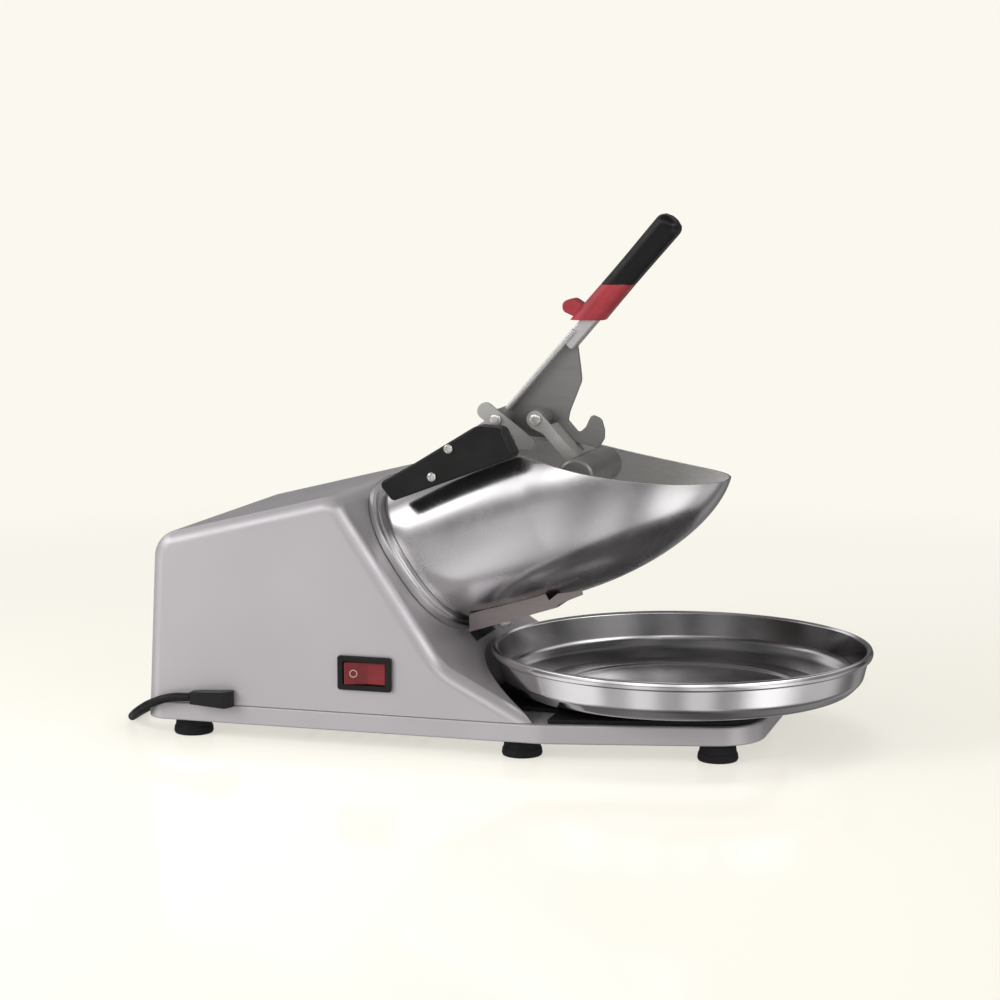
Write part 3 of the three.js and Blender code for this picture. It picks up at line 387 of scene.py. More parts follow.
def combine(base, *steps):
    """Applies ("UNION" | "DIFFERENCE" | "INTERSECT", solid) one after another and returns the result."""
    target = bare_object("base", base)
    tools = []
    for operation, shape in steps:
        tool = bare_object("tool", shape)
        modifier = target.modifiers.new("cut", "BOOLEAN")
        modifier.operation = operation
        modifier.solver = "EXACT"
        modifier.object = tool
        tools.append(tool)
    bpy.context.view_layer.update()
    evaluated = target.evaluated_get(bpy.context.evaluated_depsgraph_get())
    result = bmesh.new()
    result.from_mesh(evaluated.to_mesh())
    evaluated.to_mesh_clear()
    for used in [target, *tools]:
        mesh = used.data
        bpy.data.objects.remove(used)
        bpy.data.meshes.remove(mesh)
    bmesh.ops.remove_doubles(result, verts=result.verts, dist=1e-4)
    bmesh.ops.dissolve_limit(result, angle_limit=math.radians(0.2), verts=result.verts, edges=result.edges)
    return result


def cut(base, *tools):
    return combine(base, *[("DIFFERENCE", tool) for tool in tools])


def join(base, *tools):
    return combine(base, *[("UNION", tool) for tool in tools])


def cad_shape(node):
    """A copy of a CAD node's mesh, in millimetres, with its flat faces whole again."""
    shape = bmesh.new()
    shape.from_mesh(NODES[node].data)
    shape.transform(Matrix.Scale(1 / MM, 4))
    bmesh.ops.remove_doubles(shape, verts=shape.verts, dist=1e-3)
    bmesh.ops.dissolve_limit(shape, angle_limit=math.radians(1), verts=shape.verts, edges=shape.edges)
    return shape


def add_piece(name, shape, body, material, stands_for=(), bevel=0.0, smooth=32):
    made = bare_object(name, placed(shape, Matrix.Scale(MM, 4)))
    made.data.shade_smooth()
    made.data.set_sharp_from_angle(angle=math.radians(smooth))
    made.data.materials.append(material)
    if bevel:
        modifier = made.modifiers.new("bevel", "BEVEL")
        modifier.width = bevel * MM
        modifier.segments = 2
        modifier.limit_method = "ANGLE"
        modifier.angle_limit = math.radians(smooth)
        modifier.use_clamp_overlap = True
        modifier.harden_normals = True
    else:
        modifier = made.modifiers.new("normals", "WEIGHTED_NORMAL")
        modifier.keep_sharp = True
    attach(made, body)
    if stands_for:
        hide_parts(*stands_for)
    return made


# ---------------------------------------------------------------- mains lead, first
# It leaves the gland, bends down round the rear end, and lies on the floor to a coil behind the machine.
CORD_DIAMETER = 5
ROUTE = [
    (-172.4, -95, 25.6), (-184, -95, 24.8), (-197, -93.5, 20.5), (-208, -87, 14.2), (-217, -76, 8.2),
    (-224, -61, 4.1), (-227.5, -42, 2.8), (-228, -20, 2.8), (-227.5, 5, 2.8), (-226, 30, 2.8),
    (-222, 54, 2.8), (-214, 76, 2.8), (-200, 95, 2.8), (-181, 107, 2.8), (-160, 111.5, 2.8),
    (-141, 112, 2.8),
]
COIL_X, COIL_Y = -120, 150
COIL_OUTER, COIL_INNER = 38.7, 22.3
COIL_LEAVES = 34.6
LOW_LAYER, HIGH_LAYER = 3.4, 8.7
COIL_STEP = 15


def coil_points():
    """Three turns winding in on the floor, a climb at the inside, and two turns winding out on top, by degrees."""
    points = []
    start, climb_from, climb_to, end = -99, 981, 1131, 1890
    for angle in range(start, end + 1, COIL_STEP):
        if angle <= climb_from:
            done = (angle - start) / (climb_from - start)
            reach = COIL_OUTER + (COIL_INNER - COIL_OUTER) * done
            height = LOW_LAYER - 0.6 * max(0, 1 - (angle - start) / 60)
        elif angle <= climb_to:
            done = (angle - climb_from) / (climb_to - climb_from)
            reach = COIL_INNER
            height = LOW_LAYER + (HIGH_LAYER - LOW_LAYER) * (3 - 2 * done) * done * done
        else:
            done = (angle - climb_to) / (end - climb_to)
            reach = COIL_INNER + (COIL_LEAVES - COIL_INNER) * done
            height = HIGH_LAYER
        turn = math.radians(angle)
        points.append((COIL_X + reach * math.cos(turn), COIL_Y + reach * math.sin(turn), height))
    return points


def make_cord(points):
    curve = bpy.data.curves.new("mains_lead", "CURVE")
    curve.dimensions = "3D"
    curve.bevel_depth = CORD_DIAMETER / 2 * MM
    curve.bevel_resolution = 5
    curve.resolution_u = 5
    curve.use_fill_caps = True
    spline = curve.splines.new("BEZIER")
    spline.bezier_points.add(len(points) - 1)
    for bezier, point in zip(spline.bezier_points, points):
        bezier.co = Vector(point) * MM
        bezier.handle_left_type = bezier.handle_right_type = "AUTO"
    curve.materials.append(JACKET)
    made = bpy.data.objects.new("mains_lead", curve)
    scene.collection.objects.link(made)
    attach(made, "machine")
    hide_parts("cord_lead", "cord_coil")
    return made


def along(points):
    return sum((Vector(b) - Vector(a)).length for a, b in zip(points, points[1:]))


PLUG_TAIL_X = -136.4
TAIL = [(COIL_X - 8, COIL_Y + COIL_LEAVES, 8.75), (PLUG_TAIL_X - 6, COIL_Y + COIL_LEAVES, 8.8)]
cord_points = ROUTE + coil_points() + TAIL
cord = make_cord(cord_points)
tie_outline = [(18.9, 0.05, 2), (40.6, 0.05, 2), (40.6, 12.1, 3), (18.9, 12.1, 3)]
tie_shape = cut(
    prism(tie_outline, -2.2, 2.2, 0.3),
    prism(inset(tie_outline, 0.8), -5, 5),
)
tie = add_piece(
    "cord_tie_band", placed(tie_shape, Matrix.Translation((COIL_X, COIL_Y, 0))), "machine",
    RUBBER, ["cord_tie"],
)
plug = add_piece(
    "plug", cad_shape("power_plug"), "machine", PLASTIC, ["power_plug"], bevel=0.6,
)

# ---------------------------------------------------------------- tray, feet, bottom cover
tray_half = [(-204, -90, 12), (33, -90, 30), (151, -63.4, 30)]
TRAY = tray_half + [(x, -y, r) for x, y, r in reversed(tray_half)]
FEET = [
    ("rear_left", -180, -73), ("rear_right", -180, 73), ("middle_left", 19, -73),
    ("middle_right", 19, 73), ("front_left", 127, -55), ("front_right", 127, 55),
]
TRAY_LOW, TRAY_HIGH = 10.4, 21.2
TRAY_SKIN = 2.5

tray = cut(
    prism(TRAY, TRAY_LOW, TRAY_HIGH, 1.2, upright, 12, 4),
    prism(inset(TRAY, TRAY_SKIN), TRAY_LOW - 2, TRAY_HIGH - TRAY_SKIN, 0, upright, 12),
)
add_piece("tray", tray, BODY, PAINT, ["base_tray"])

FOOT_PROFILE = [
    (2.4, 4), (4.8, 4, 0.3), (4.8, 0.1, 0.4), (10.9, 0, 0.8), (11.5, 1.5, 0.8), (11.1, 4.4, 0.5), (10.6, 4.6, 0.4),
    (9.8, 10.1, 0.4), (2.4, 10.1),
]
SCREW_PROFILE = [(0, 1.4), (1.6, 1.4), (4.2, 2.2, 0.6), (4.2, 3.8), (2, 3.8), (2, 17), (0, 17)]
for place, x, y in FEET:
    at = Matrix.Translation((x, y, 0))
    add_piece(f"rubber_foot_{place}", placed(lathe(FOOT_PROFILE, 72), at), BODY, RUBBER,
              [f"foot_{place}"])
    driven = cut(
        lathe(SCREW_PROFILE, 36), block((-2.3, -0.5, 0), (2.3, 0.5, 2.6)), block((-0.5, -2.3, 0), (0.5, 2.3, 2.6)),
    )
    add_piece(f"screw_of_foot_{place}", placed(driven, at), BODY, BRIGHT, [f"foot_screw_{place}"])
add_piece("bottom_plate", cad_shape("bottom_cover"), BODY, STEEL, ["bottom_cover"], bevel=0.25)

# ---------------------------------------------------------------- housing
HALF_WIDTH = 90
SHELL_SKIN = 1.8
# The outline runs on below the tray's top, where the housing is cut off, so that its rounded edges do too.
HOUSING = [(-204.5, -20), (113, -20), (-23.4, 50.9, 30), (-86.7, 144.6, 12), (-197.5, 117, 16)]
SLOPE = tilted(-57.3, 101.1, 56)
SWITCH_X, SWITCH_Z = -68, 44.6
GLAND_Z = 25.6


def recess(room):
    slope = (124.3 - 104.7) / 100
    shape = rod(104.7 - 20 * slope + room, -20, 110, 104.7 + 110 * slope + room, 192)
    return placed(shape, Matrix.Translation((BOWL_X, 0, 0)))


def lengthways(a, b, height):
    return height, a, b


def vent(y):
    outline = [(y - 2, 48, 1.9), (y + 2, 48, 1.9), (y + 2, 88, 1.9), (y - 2, 88, 1.9)]
    return prism(outline, -210, -192, 0, lengthways, 6)


housing = combine(
    prism(HOUSING, -HALF_WIDTH, HALF_WIDTH, 8.5, across, 14, 9),
    ("INTERSECT", block((-230, -100, 21.5), (60, 100, 200))),
    ("DIFFERENCE", recess(0)),
    ("DIFFERENCE", cut(
        prism(inset(HOUSING, SHELL_SKIN), -HALF_WIDTH + SHELL_SKIN, HALF_WIDTH - SHELL_SKIN, 6.7, across, 8, 3),
        recess(SHELL_SKIN),
    )),
    ("DIFFERENCE", placed(rod(48, -9, 9), SLOPE)),
    ("DIFFERENCE", placed(block((52.2, -20, -9), (59.2, 20, 9)), SLOPE)),
    ("DIFFERENCE", block((SWITCH_X - 13.9, -95, SWITCH_Z - 7.9), (SWITCH_X + 13.9, -80, SWITCH_Z + 7.9))),
    ("DIFFERENCE", cross_rod(4.3, -152, GLAND_Z, -95, -80)),
    *[("DIFFERENCE", vent(11 * (i - 3))) for i in range(7)],
)
add_piece("housing_shell", housing, BODY, PAINT, ["body_shell"], smooth=28)

# ---------------------------------------------------------------- bowl and mat
add_piece("rubber_mat", cad_shape("bowl_mat"), BODY, RUBBER, ["bowl_mat"], bevel=0.5)
BOWL_RIM_LOW = 51
BOWL_PROFILE = [
    (0, 26), (60, 26, 2), (62, 24.2, 2), (68, 24.2, 2), (71.5, 27, 3), (86, 27.2, 10), (99, 30.5, 9),
    (104.6, 36.5, 7), (107.4, 48.4, 1), (109.4, 48.8, 0.8), (110, 50.9, 1.4), (109.3, 52.9, 1.2), (107.6, 53.4, 1),
    (106.1, 52.2, 1), (103, 37.2, 7), (98.2, 32, 8), (85.6, 28.6, 9), (71, 28.4, 2.5), (68.6, 27.4, 2),
    (0, 27.4),
]
bowl = placed(lathe(BOWL_PROFILE, 256, 7), Matrix.Translation((BOWL_X, 0, 0)))
bowl = add_piece("steel_bowl", bowl, "catch_bowl", SPUN, ["bowl"], smooth=50)
# Faces inside the bowl, below the rim, get the darker copy of the steel: painted shade.
bowl.data.materials.append(BOWL_INSIDE_PAINTED_SHADE)
for face in bowl.data.polygons:
    outward = Vector((face.center.x - BOWL_X * MM, face.center.y, 0)).normalized()
    inside = face.normal.dot(outward) < -0.3 or face.normal.z > 0.5
    if inside and face.center.z < BOWL_RIM_LOW * MM:
        face.material_index = 1

# ---------------------------------------------------------------- rocker switch
flange = [(-16, -9.8, 1.6), (16, -9.8, 1.6), (16, 9.8, 1.6), (-16, 9.8, 1.6)]
opening = [(-12.7, -6.7, 0.8), (12.7, -6.7, 0.8), (12.7, 6.7, 0.8), (-12.7, 6.7, 0.8)]
barrel = [(-13.6, -7.6, 0.5), (13.6, -7.6, 0.5), (13.6, 7.6, 0.5), (-13.6, 7.6, 0.5)]
bezel = combine(
    prism(flange, -2.2, 0, 0.7, across, 6, 4), ("UNION", prism(barrel, -0.9, 14)),
    ("DIFFERENCE", prism(opening, -5, 12.5)),
)
add_piece(
    "switch_frame", placed(bezel, Matrix.Translation((SWITCH_X, -90.3, SWITCH_Z))), BODY,
    PLASTIC, ["switch_bezel"],
)
ROCKER = Matrix.Translation((SWITCH_X, -88.4, SWITCH_Z)) @ Matrix.Rotation(math.radians(7), 4, "Z")
rocker_outline = [
    (-11.9, -4.4, 0.5), (1.5, -2.3, 0.6), (11.9, -4.4, 0.5), (11.9, -3.6, 0.4), (2, 6, 1), (-2, 6, 1),
    (-11.9, -3.6, 0.4),
]
add_piece(
    "red_rocker", placed(prism(rocker_outline, -6.3, 6.3, 0.5, upright, 6, 3), ROCKER), "rocker", LENS,
    ["switch_rocker"],
)
MARK_RADIUS = 2.1
mark_rings = [
    [(p.x, height, p.y) for p in ring_points(40, MARK_RADIUS * reach, MARK_RADIUS * reach)]
    for reach, height in ((1, -0.06), (1.12, 0.02), (1.12, 0.5), (0.8, 0.5), (0.8, 0.02), (0.88, -0.06))
]
mark_place = ROCKER @ Matrix.Translation((-6.6, -3.55, 0)) @ Matrix.Rotation(math.radians(8.9), 4, "Z")
add_piece("off_ring_mark", placed(loft(mark_rings, wrap=True), mark_place), "rocker", MARK)

# ---------------------------------------------------------------- collar, blade parts and motor
SQUARENESS = 2.35  # of the ovals of the collar and the hopper; 2 is an ellipse


def stepped_plate(levels, bore, segments=160):
    """A plate with a round bore; levels are (half x, half y, height) up its outside and inwards."""
    low, high = levels[0][2], levels[-1][2]
    rings = [[(p.x, p.y, low) for p in ring_points(segments, bore, bore)]]
    rings += [[(p.x, p.y, h) for p in ring_points(segments, hx, hy, SQUARENESS)] for hx, hy, h in levels]
    rings += [[(p.x, p.y, h) for p in ring_points(segments, bore + grow, bore + grow)] for grow, h in
              ((0.6, high), (0, high - 0.6))]
    return loft(rings, wrap=True)


collar_levels = [
    (51.2, 69.7, 0.3), (51.5, 70, 0.6), (51.5, 70, 3.5), (51.2, 69.7, 4.1), (50.6, 69, 4.3), (49.7, 67.4, 4.4),
    (49.5, 67, 4.7), (49.5, 67, 5.4), (49, 66.5, 6.1), (48.2, 65.7, 6.3),
]
add_piece("collar", placed(stepped_plate(collar_levels, 46.5), SLOPE), BODY, SATIN,
          ["hopper_collar"])
add_piece("ice_chamber", cad_shape("blade_housing"), BODY, CAST, ["blade_housing"], bevel=0.3)
add_piece("cutter_disc", cad_shape("blade_disc"), "rotor", CAST, ["blade_disc"], bevel=0.3)
for i in (1, 2, 3):
    add_piece(f"cutter_blade_{i}", cad_shape(f"blade_{i}"), "rotor", BRIGHT, [f"blade_{i}"], bevel=0.3)
nut_profile = [(0, 7.4), (4.9, 7.2), (4.9, 0.9), (7.2, 0.9, 0.3), (7.2, 5.2, 0.8), (5.4, 7.9, 1), (3, 9, 1), (0, 9.2)]
nut = combine(lathe(nut_profile, 60), ("INTERSECT", rod(7, 0, 12, segments=6)))
add_piece("acorn_nut", placed(nut, SLOPE), "rotor", BRIGHT, ["disc_nut"], bevel=0.15)
bell = [(5.4, -36, 0.5), (33, -36, 0.5), (33, -29.3, 2.4), (5.4, -29.3, 0.5)]
add_piece("motor_bell_front", placed(lathe(bell), SLOPE), BODY, CAST, ["motor_front_bell"])
rear_bell = [(5.4, -85, 0.5), (33, -85, 2.4), (33, -80, 0.5), (5.4, -80, 0.5)]
add_piece("motor_bell_rear", placed(lathe(rear_bell), SLOPE), BODY, CAST, ["motor_rear_bell"])
stack = [(21, -79.7, 0.4), (33, -79.7, 0.6)]
RIB_STEP = 2.1
for i in range(20):
    low = -79 + i * RIB_STEP
    stack += [(33, low + 1.3, 0.1), (32.6, low + 1.5, 0.1), (32.6, low + 1.9, 0.1), (33, low + RIB_STEP, 0.1)]
stack += [(33, -36.3, 0.4), (21, -36.3, 0.4)]
add_piece("motor_stack", placed(lathe(stack, 72, 2), SLOPE), BODY, ENAMEL, ["motor_body"])
for node, body, slot, material, bevel in (
    ("motor_shaft", "rotor", "plain_steel", BRIGHT, 0.3), ("cooling_fan", "rotor", "black_plastic", PLASTIC, 0.2),
    ("motor_cradle", BODY, "plain_steel", STEEL, 0.4), ("run_capacitor", BODY, "black_plastic", PLASTIC, 0),
    ("terminal_block", BODY, "black_plastic", PLASTIC, 0.8),
):
    add_piece(f"{node}_detail", cad_shape(node), body, material, [node], bevel=bevel)

# ---------------------------------------------------------------- hopper
HOPPER = tilted(-51.9, 104.7, 69.6)
ROOT, DOME, TIP = -14, 80, 184
ROOT_HALF, HALF = 44, 51.5
HOPPER_WALL = 1.4
MOUTH = [
    (150, 148.5), (118, 150.3), (94, 151.6), (70, 154.2), (48, 157.7), (28, 162), (11, 165.5), (-8, 167.5),
    (-24, 167.6),
]
SLOPE_NORMAL = SLOPE.to_3x3() @ Vector((0, 0, 1))
SLOPE_POINT = SLOPE.translation


def mouth_height(x):
    """The smooth edge of the mouth, through the MOUTH points."""
    for i in range(len(MOUTH) - 1):
        (x1, z1), (x0, z0) = MOUTH[i], MOUTH[i + 1]
        if x0 <= x <= x1:
            before = MOUTH[min(i + 2, len(MOUTH) - 1)]
            after = MOUTH[max(i - 1, 0)]
            t = (x - x0) / (x1 - x0)
            slope_0 = (z1 - before[1]) / (x1 - before[0]) * (x1 - x0)
            slope_1 = (after[1] - z0) / (after[0] - x0) * (x1 - x0)
            return ((2 * t**3 - 3 * t**2 + 1) * z0 + (t**3 - 2 * t**2 + t) * slope_0
                    + (3 * t**2 - 2 * t**3) * z1 + (t**3 - t**2) * slope_1)
    return MOUTH[0][1]


def hopper_point(t, angle, shrink):
    """t runs from the root, 0, through the start of the dome, 1, to the tip, 2."""
    if t <= 1:
        u = ROOT + (DOME - ROOT) * t
        half = ROOT_HALF + (HALF - ROOT_HALF) * math.sin(t * math.pi / 2) - shrink
    else:
        u = DOME + (TIP - DOME - shrink) * math.sin((t - 1) * math.pi / 2)
        half = (HALF - shrink) * math.cos((t - 1) * math.pi / 2)
    widening = 1.34 + (1.21 - 1.34) * min(t, 1)
    reach = half * square_reach(angle, SQUARENESS)
    return HOPPER @ Vector((reach * math.cos(angle), reach * math.sin(angle) * widening, u))


def bisect(test, low, high):
    for _ in range(30):
        middle = (low + high) / 2
        low, high = (low, middle) if test(middle) else (middle, high)
    return high


def open_above(point):
    return point.x > -24 and point.z > mouth_height(point.x)


def hopper_column(angle, shrink, steps=60):
    def at(t):
        return hopper_point(t, angle, shrink)

    start = bisect(lambda t: (at(t) - SLOPE_POINT).dot(SLOPE_NORMAL) > 6.6, 0, 1)
    coarse = [start + (2 - start) * i / 200 for i in range(201)]
    first = next(i for i, t in enumerate(coarse) if open_above(at(t)))
    end = bisect(lambda t: open_above(at(t)), coarse[max(first - 1, 0)], coarse[first])
    return [at(start + (end - start) * i / steps) for i in range(steps + 1)]


def hopper_shape(columns=224):
    grid = []
    for i in range(columns):
        angle = 2 * math.pi * i / columns
        outer = hopper_column(angle, 0)
        inner = hopper_column(angle, HOPPER_WALL)
        tip = (outer[-1] + inner[-1]) / 2 + (outer[-1] - outer[-2]).normalized() * 0.4
        grid.append([*outer, tip, *reversed(inner)])
    return ring_grid(grid, len(grid[0]) // 2)


def ring_grid(columns, inner_from):
    """Joins closed columns side by side, all the way round; faces from inner_from on use material 1."""
    made = bmesh.new()
    rows = [[made.verts.new(point) for point in column] for column in columns]
    for i, column in enumerate(rows):
        following = rows[(i + 1) % len(rows)]
        for j in range(len(column)):
            k = (j + 1) % len(column)
            face = made.faces.new((column[j], column[k], following[k], following[j]))
            face.material_index = 1 if j > inner_from else 0
    bmesh.ops.recalc_face_normals(made, faces=made.faces)
    return made


hopper = add_piece("steel_hopper", hopper_shape(), BODY, POLISHED, ["hopper"], smooth=50)
# Faces inside the hopper get the paler satin copy: a painted reflection.
hopper.data.materials.append(INSIDE)
# The strip's steel is painted darker: painted shade.
add_piece("support_strip", cad_shape("hopper_support"), BODY, SHADED_STRIP_STEEL, ["hopper_support"])


def cross_screw(radius, height, shank, depth):
    """A domed screw along +Z with a cross recess; its seat is at height 0."""
    dome = [(0, -depth), (shank, -depth), (shank, 0), (radius, 0, 0.2), (radius * 0.93, height * 0.55, 0.8),
            (radius * 0.55, height * 0.95, 1), (0, height)]
    reach = radius * 0.62
    return cut(
        lathe(dome, 48), block((-reach, -0.55, height * 0.45), (reach, 0.55, height * 2)),
        block((-0.55, -reach, height * 0.45), (0.55, reach, height * 2)),
    )


for side, y in (("left", -22), ("right", 22)):
    at = tilted(-6, 66.2, -17.8) @ Matrix.Translation((0, y, 0)) @ Matrix.Rotation(math.pi, 4, "X")
    add_piece(f"bolt_of_support_{side}", placed(cross_screw(4.8, 4.2, 2, 0.1), at), BODY, BRIGHT,
              [f"support_bolt_{side}"])

# ---------------------------------------------------------------- hinge covers, bracket and pins
COVER = [
    (-59.7, 139.2, 3), (11.9, 166.6, 3), (3.7, 182.9, 5), (-10.7, 183.5, 7), (-29.1, 172.2, 60),
    (-46.8, 161.3, 60), (-68, 149.2, 3),
]
COVER_SCREWS = [(-26.2, 170.4), (-36, 154.2)]


def hopper_core(room):
    """The hopper's outside as a filled solid, for cutting what sits on it."""
    rings = [[hopper_point(2 * i / 60, 2 * math.pi * j / 96, -room) for j in range(96)] for i in range(60)]
    return loft(rings)


def cover_shape():
    return cut(
        prism(COVER, -66, -50, 1.6, across, 8, 5), prism(inset(COVER, 2.4), -63.6, -45, 0, across, 8),
        hopper_core(0.3), *[cross_rod(2.1, x, z, -70, -50, 24) for x, z in COVER_SCREWS],
    )


for side, sign in (("left", 1), ("right", -1)):
    mirror = Matrix.Diagonal((1, sign, 1, 1))
    cover = placed(cover_shape(), mirror)
    bmesh.ops.recalc_face_normals(cover, faces=cover.faces)
    add_piece(f"cover_{side}", cover, BODY, PLASTIC, [f"hinge_cover_{side}"])
    for i, (x, z) in enumerate(COVER_SCREWS):
        turn = Matrix.Rotation(math.radians(90 * sign), 4, "X") @ Matrix.Rotation(0.4 + i, 4, "Z")
        at = Matrix.Translation((x, -66.3 * sign, z)) @ turn
        add_piece(f"screw_of_cover_{side}_{i + 1}", placed(cross_screw(2.7, 1.6, 1.7, 8), at), BODY,
                  BRIGHT, [f"cover_screw_{side}_{i + 1}"])
add_piece("bracket", cad_shape("hinge_bracket"), BODY, STEEL, ["hinge_bracket"])

HINGE = Matrix.Translation((-11, 0, 183))
LEVER = tilted(-11, 183, 40.7)
LINK_PIVOT = (16.8, 14.8)


def pin(radius, half, head, height):
    end = half + height
    side = [(radius, half + 0.3), (head, half + 0.3, 0.2), (head, end - 0.5, 0.6), (head * 0.6, end, 1), (0, end)]
    profile = [(r, -h, *c) for r, h, *c in reversed(side)] + side
    return placed(lathe(profile, 48), Matrix.Rotation(math.pi / 2, 4, "X"))


add_piece("pin_of_hinge", placed(pin(2.3, 23.5, 3.3, 2.4), HINGE), BODY, BRIGHT, ["hinge_pin"])
link_place = LEVER @ Matrix.Translation((LINK_PIVOT[0], 0, LINK_PIVOT[1]))
add_piece("pin_of_link", placed(pin(2.3, 19.6, 3.3, 1.5), link_place), "press_lever", BRIGHT,
          ["link_pin"])

# ---------------------------------------------------------------- lever, grip and press
FIN = [
    (-2, -7, 5), (8, -8, 6), (16, -1, 10), (31, 10.3, 10), (45, 18.9, 12), (53, 22.9, 1.5), (52, 29.3, 3),
    (48.6, 33.3, 4), (43, 36.9, 4), (37.2, 34.9, 2), (39.4, 27.3, 3), (38.6, 20.7, 3.5), (29.2, 22.6, 4),
    (26.4, 27.4, 14), (23.1, 37, 20), (20, 45.8, 8), (14.2, 51.2, 10), (10, 54.9, 10), (5.1, 59.3, 4),
    (2.5, 64.8, 3), (-2, 66),
]
BAR = [(-3, -8, 1.3), (0, -8, 1.3), (0, 8, 1.3), (-3, 8, 1.3)]
NECK = [(-3, -6.4, 1.2), (4.6, -6.4, 1.2), (4.6, 6.4, 1.2), (-3, 6.4, 1.2)]
# The hub tubes stop short of the fin's weld, so that one hole runs through all of it.
fin = combine(
    prism(FIN, -1.5, 1.5, 0.4, across, 10, 3),
    ("UNION", cross_rod(5.6, 0, 0, -21.1, 21.1)),
    ("UNION", cross_rod(5.6, *LINK_PIVOT, -17.2, 17.2)),
    ("DIFFERENCE", cross_rod(2.7, 0, 0, -30, 30, 32)),
    ("DIFFERENCE", cross_rod(2.7, *LINK_PIVOT, -30, 30, 32)),
)
add_piece("lever_fin", placed(fin, LEVER), "press_lever", DARK_STEEL, ["lever"])
# The bar gets the lighter copy of the lever steel: a painted highlight on the bend.
bar = combine(
    prism(BAR, -5.5, 66, 0.6, upright, 5, 3), ("UNION", prism(NECK, 56, 142, 1, upright, 5, 3)),
    ("DIFFERENCE", cross_rod(2.7, 0, 0, -30, 30, 32)),
)
add_piece("lever_bar", placed(bar, LEVER), "press_lever", LIT_BAR_STEEL, ["lever"])

GRIP_LOW, GRIP_HIGH = 68, 151.5
GRIP_SECTION = [(-7.8, -9.4, 6.5), (7.4, -9.4, 6.5), (7.4, 9.4, 6.5), (-7.8, 9.4, 6.5)]


def grip_body():
    """A rounded bar, slightly waisted, with a full round end."""
    rings = []
    for i in range(61):
        d = GRIP_LOW + (GRIP_HIGH - GRIP_LOW) * i / 60
        from_end = min(1, (GRIP_HIGH - d) / 5.5)
        ending = 5.5 * (1 - math.sqrt(1 - (1 - from_end) ** 2))
        waist = 0.35 * math.sin(math.pi * i / 60) ** 2
        outline = rounded(inset(GRIP_SECTION, min(ending, 5.45) + waist), 8)
        rings.append([(p.x, p.y, d) for p in outline])
    return placed(loft(rings), LEVER)


def level_cut(shape, height, keep_above):
    """Cuts a solid at a level plane and closes it."""
    parts = shape.verts[:] + shape.edges[:] + shape.faces[:]
    made = bmesh.ops.bisect_plane(
        shape, geom=parts, plane_co=(0, 0, height), plane_no=(0, 0, 1), clear_inner=keep_above,
        clear_outer=not keep_above,
    )
    edges = [part for part in made["geom_cut"] if isinstance(part, bmesh.types.BMEdge)]
    bmesh.ops.edgeloop_fill(shape, edges=edges)
    bmesh.ops.recalc_face_normals(shape, faces=shape.faces)
    return shape


SPLIT_Z = (LEVER @ Vector((0, 0, 102))).z
GUARD_Z = (LEVER @ Vector((0, 0, 75))).z
add_piece("black_handle", level_cut(grip_body(), SPLIT_Z + 0.25, True), "press_lever", GRIP,
          ["grip_handle"], smooth=40, bevel=0.3)
guard = prism([(-14, 69.2, 3.2), (-5, 72), (-5, 80.5), (-14.4, 79.2, 3.6), (-18, 73, 3.6)], -5.5, 5.5, 1.2)
sleeve = level_cut(level_cut(grip_body(), SPLIT_Z, False), GUARD_Z, True)
add_piece("red_handle", join(sleeve, placed(guard, LEVER)), "press_lever", RED, ["grip_guard"],
          smooth=40)

PRESS = tilted(*(LEVER @ Vector((LINK_PIVOT[0], 0, LINK_PIVOT[1]))).xz, 137.7)
add_piece("link_strap", cad_shape("press_link"), "press_arm", STEEL, ["press_link"])
drum = [(0, -35), (9, -35, 0.6), (10.4, -34, 0.5), (10.4, 34, 0.5), (9, 35, 0.6), (0, 35)]
roller = placed(lathe(drum, 72), PRESS @ Matrix.Translation((0, 0, 41.4)) @ Matrix.Rotation(math.pi / 2, 4, "X"))
add_piece("roller", roller, "press_arm", DARK_STEEL, ["press_roller"])

# ---------------------------------------------------------------- gland
add_piece("lead_gland", cad_shape("cord_gland"), BODY, PLASTIC, ["cord_gland"], bevel=1.6)

# ---------------------------------------------------------------- floor, world and lights
def cream(strength):
    return (0.965 * strength, 0.94 * strength, 0.865 * strength, 1)


def make_floor():
    """A pale floor that glows a little, so that its shadows stay soft, and fades into the backdrop."""
    shape = bmesh.new()
    bmesh.ops.create_circle(shape, cap_ends=True, segments=96, radius=40)
    mesh = bpy.data.meshes.new("floor")
    shape.to_mesh(mesh)
    made = bpy.data.objects.new("floor", mesh)
    scene.collection.objects.link(made)
    made.visible_glossy = False
    recipe = Recipe("pale_floor", (0.6, 0.585, 0.54), 0.0, 0.1, Specular_IOR_Level=0.15)
    recipe.set("Emission Color", cream(1))
    rays = recipe.add("ShaderNodeLightPath")
    strength = recipe.ranged(rays.outputs["Is Camera Ray"], 0.25, 0.56, 0, 1)
    recipe.link(strength, recipe.shader.inputs["Emission Strength"])
    distance = recipe.add("ShaderNodeVectorMath", operation="LENGTH")
    recipe.link(recipe.place, distance.inputs[0])
    fade = recipe.ranged(distance.outputs["Value"], 0, 1, 0.25, 1.0)
    glow = recipe.add("ShaderNodeEmission")
    glow.inputs["Color"].default_value = cream(1)
    mix = recipe.add("ShaderNodeMixShader")
    recipe.link(fade, mix.inputs["Fac"])
    recipe.link(recipe.shader.outputs["BSDF"], mix.inputs[1])
    recipe.link(glow.outputs["Emission"], mix.inputs[2])
    recipe.link(mix.outputs["Shader"], recipe.tree.nodes["Material Output"].inputs["Surface"])
    mesh.materials.append(recipe.material)


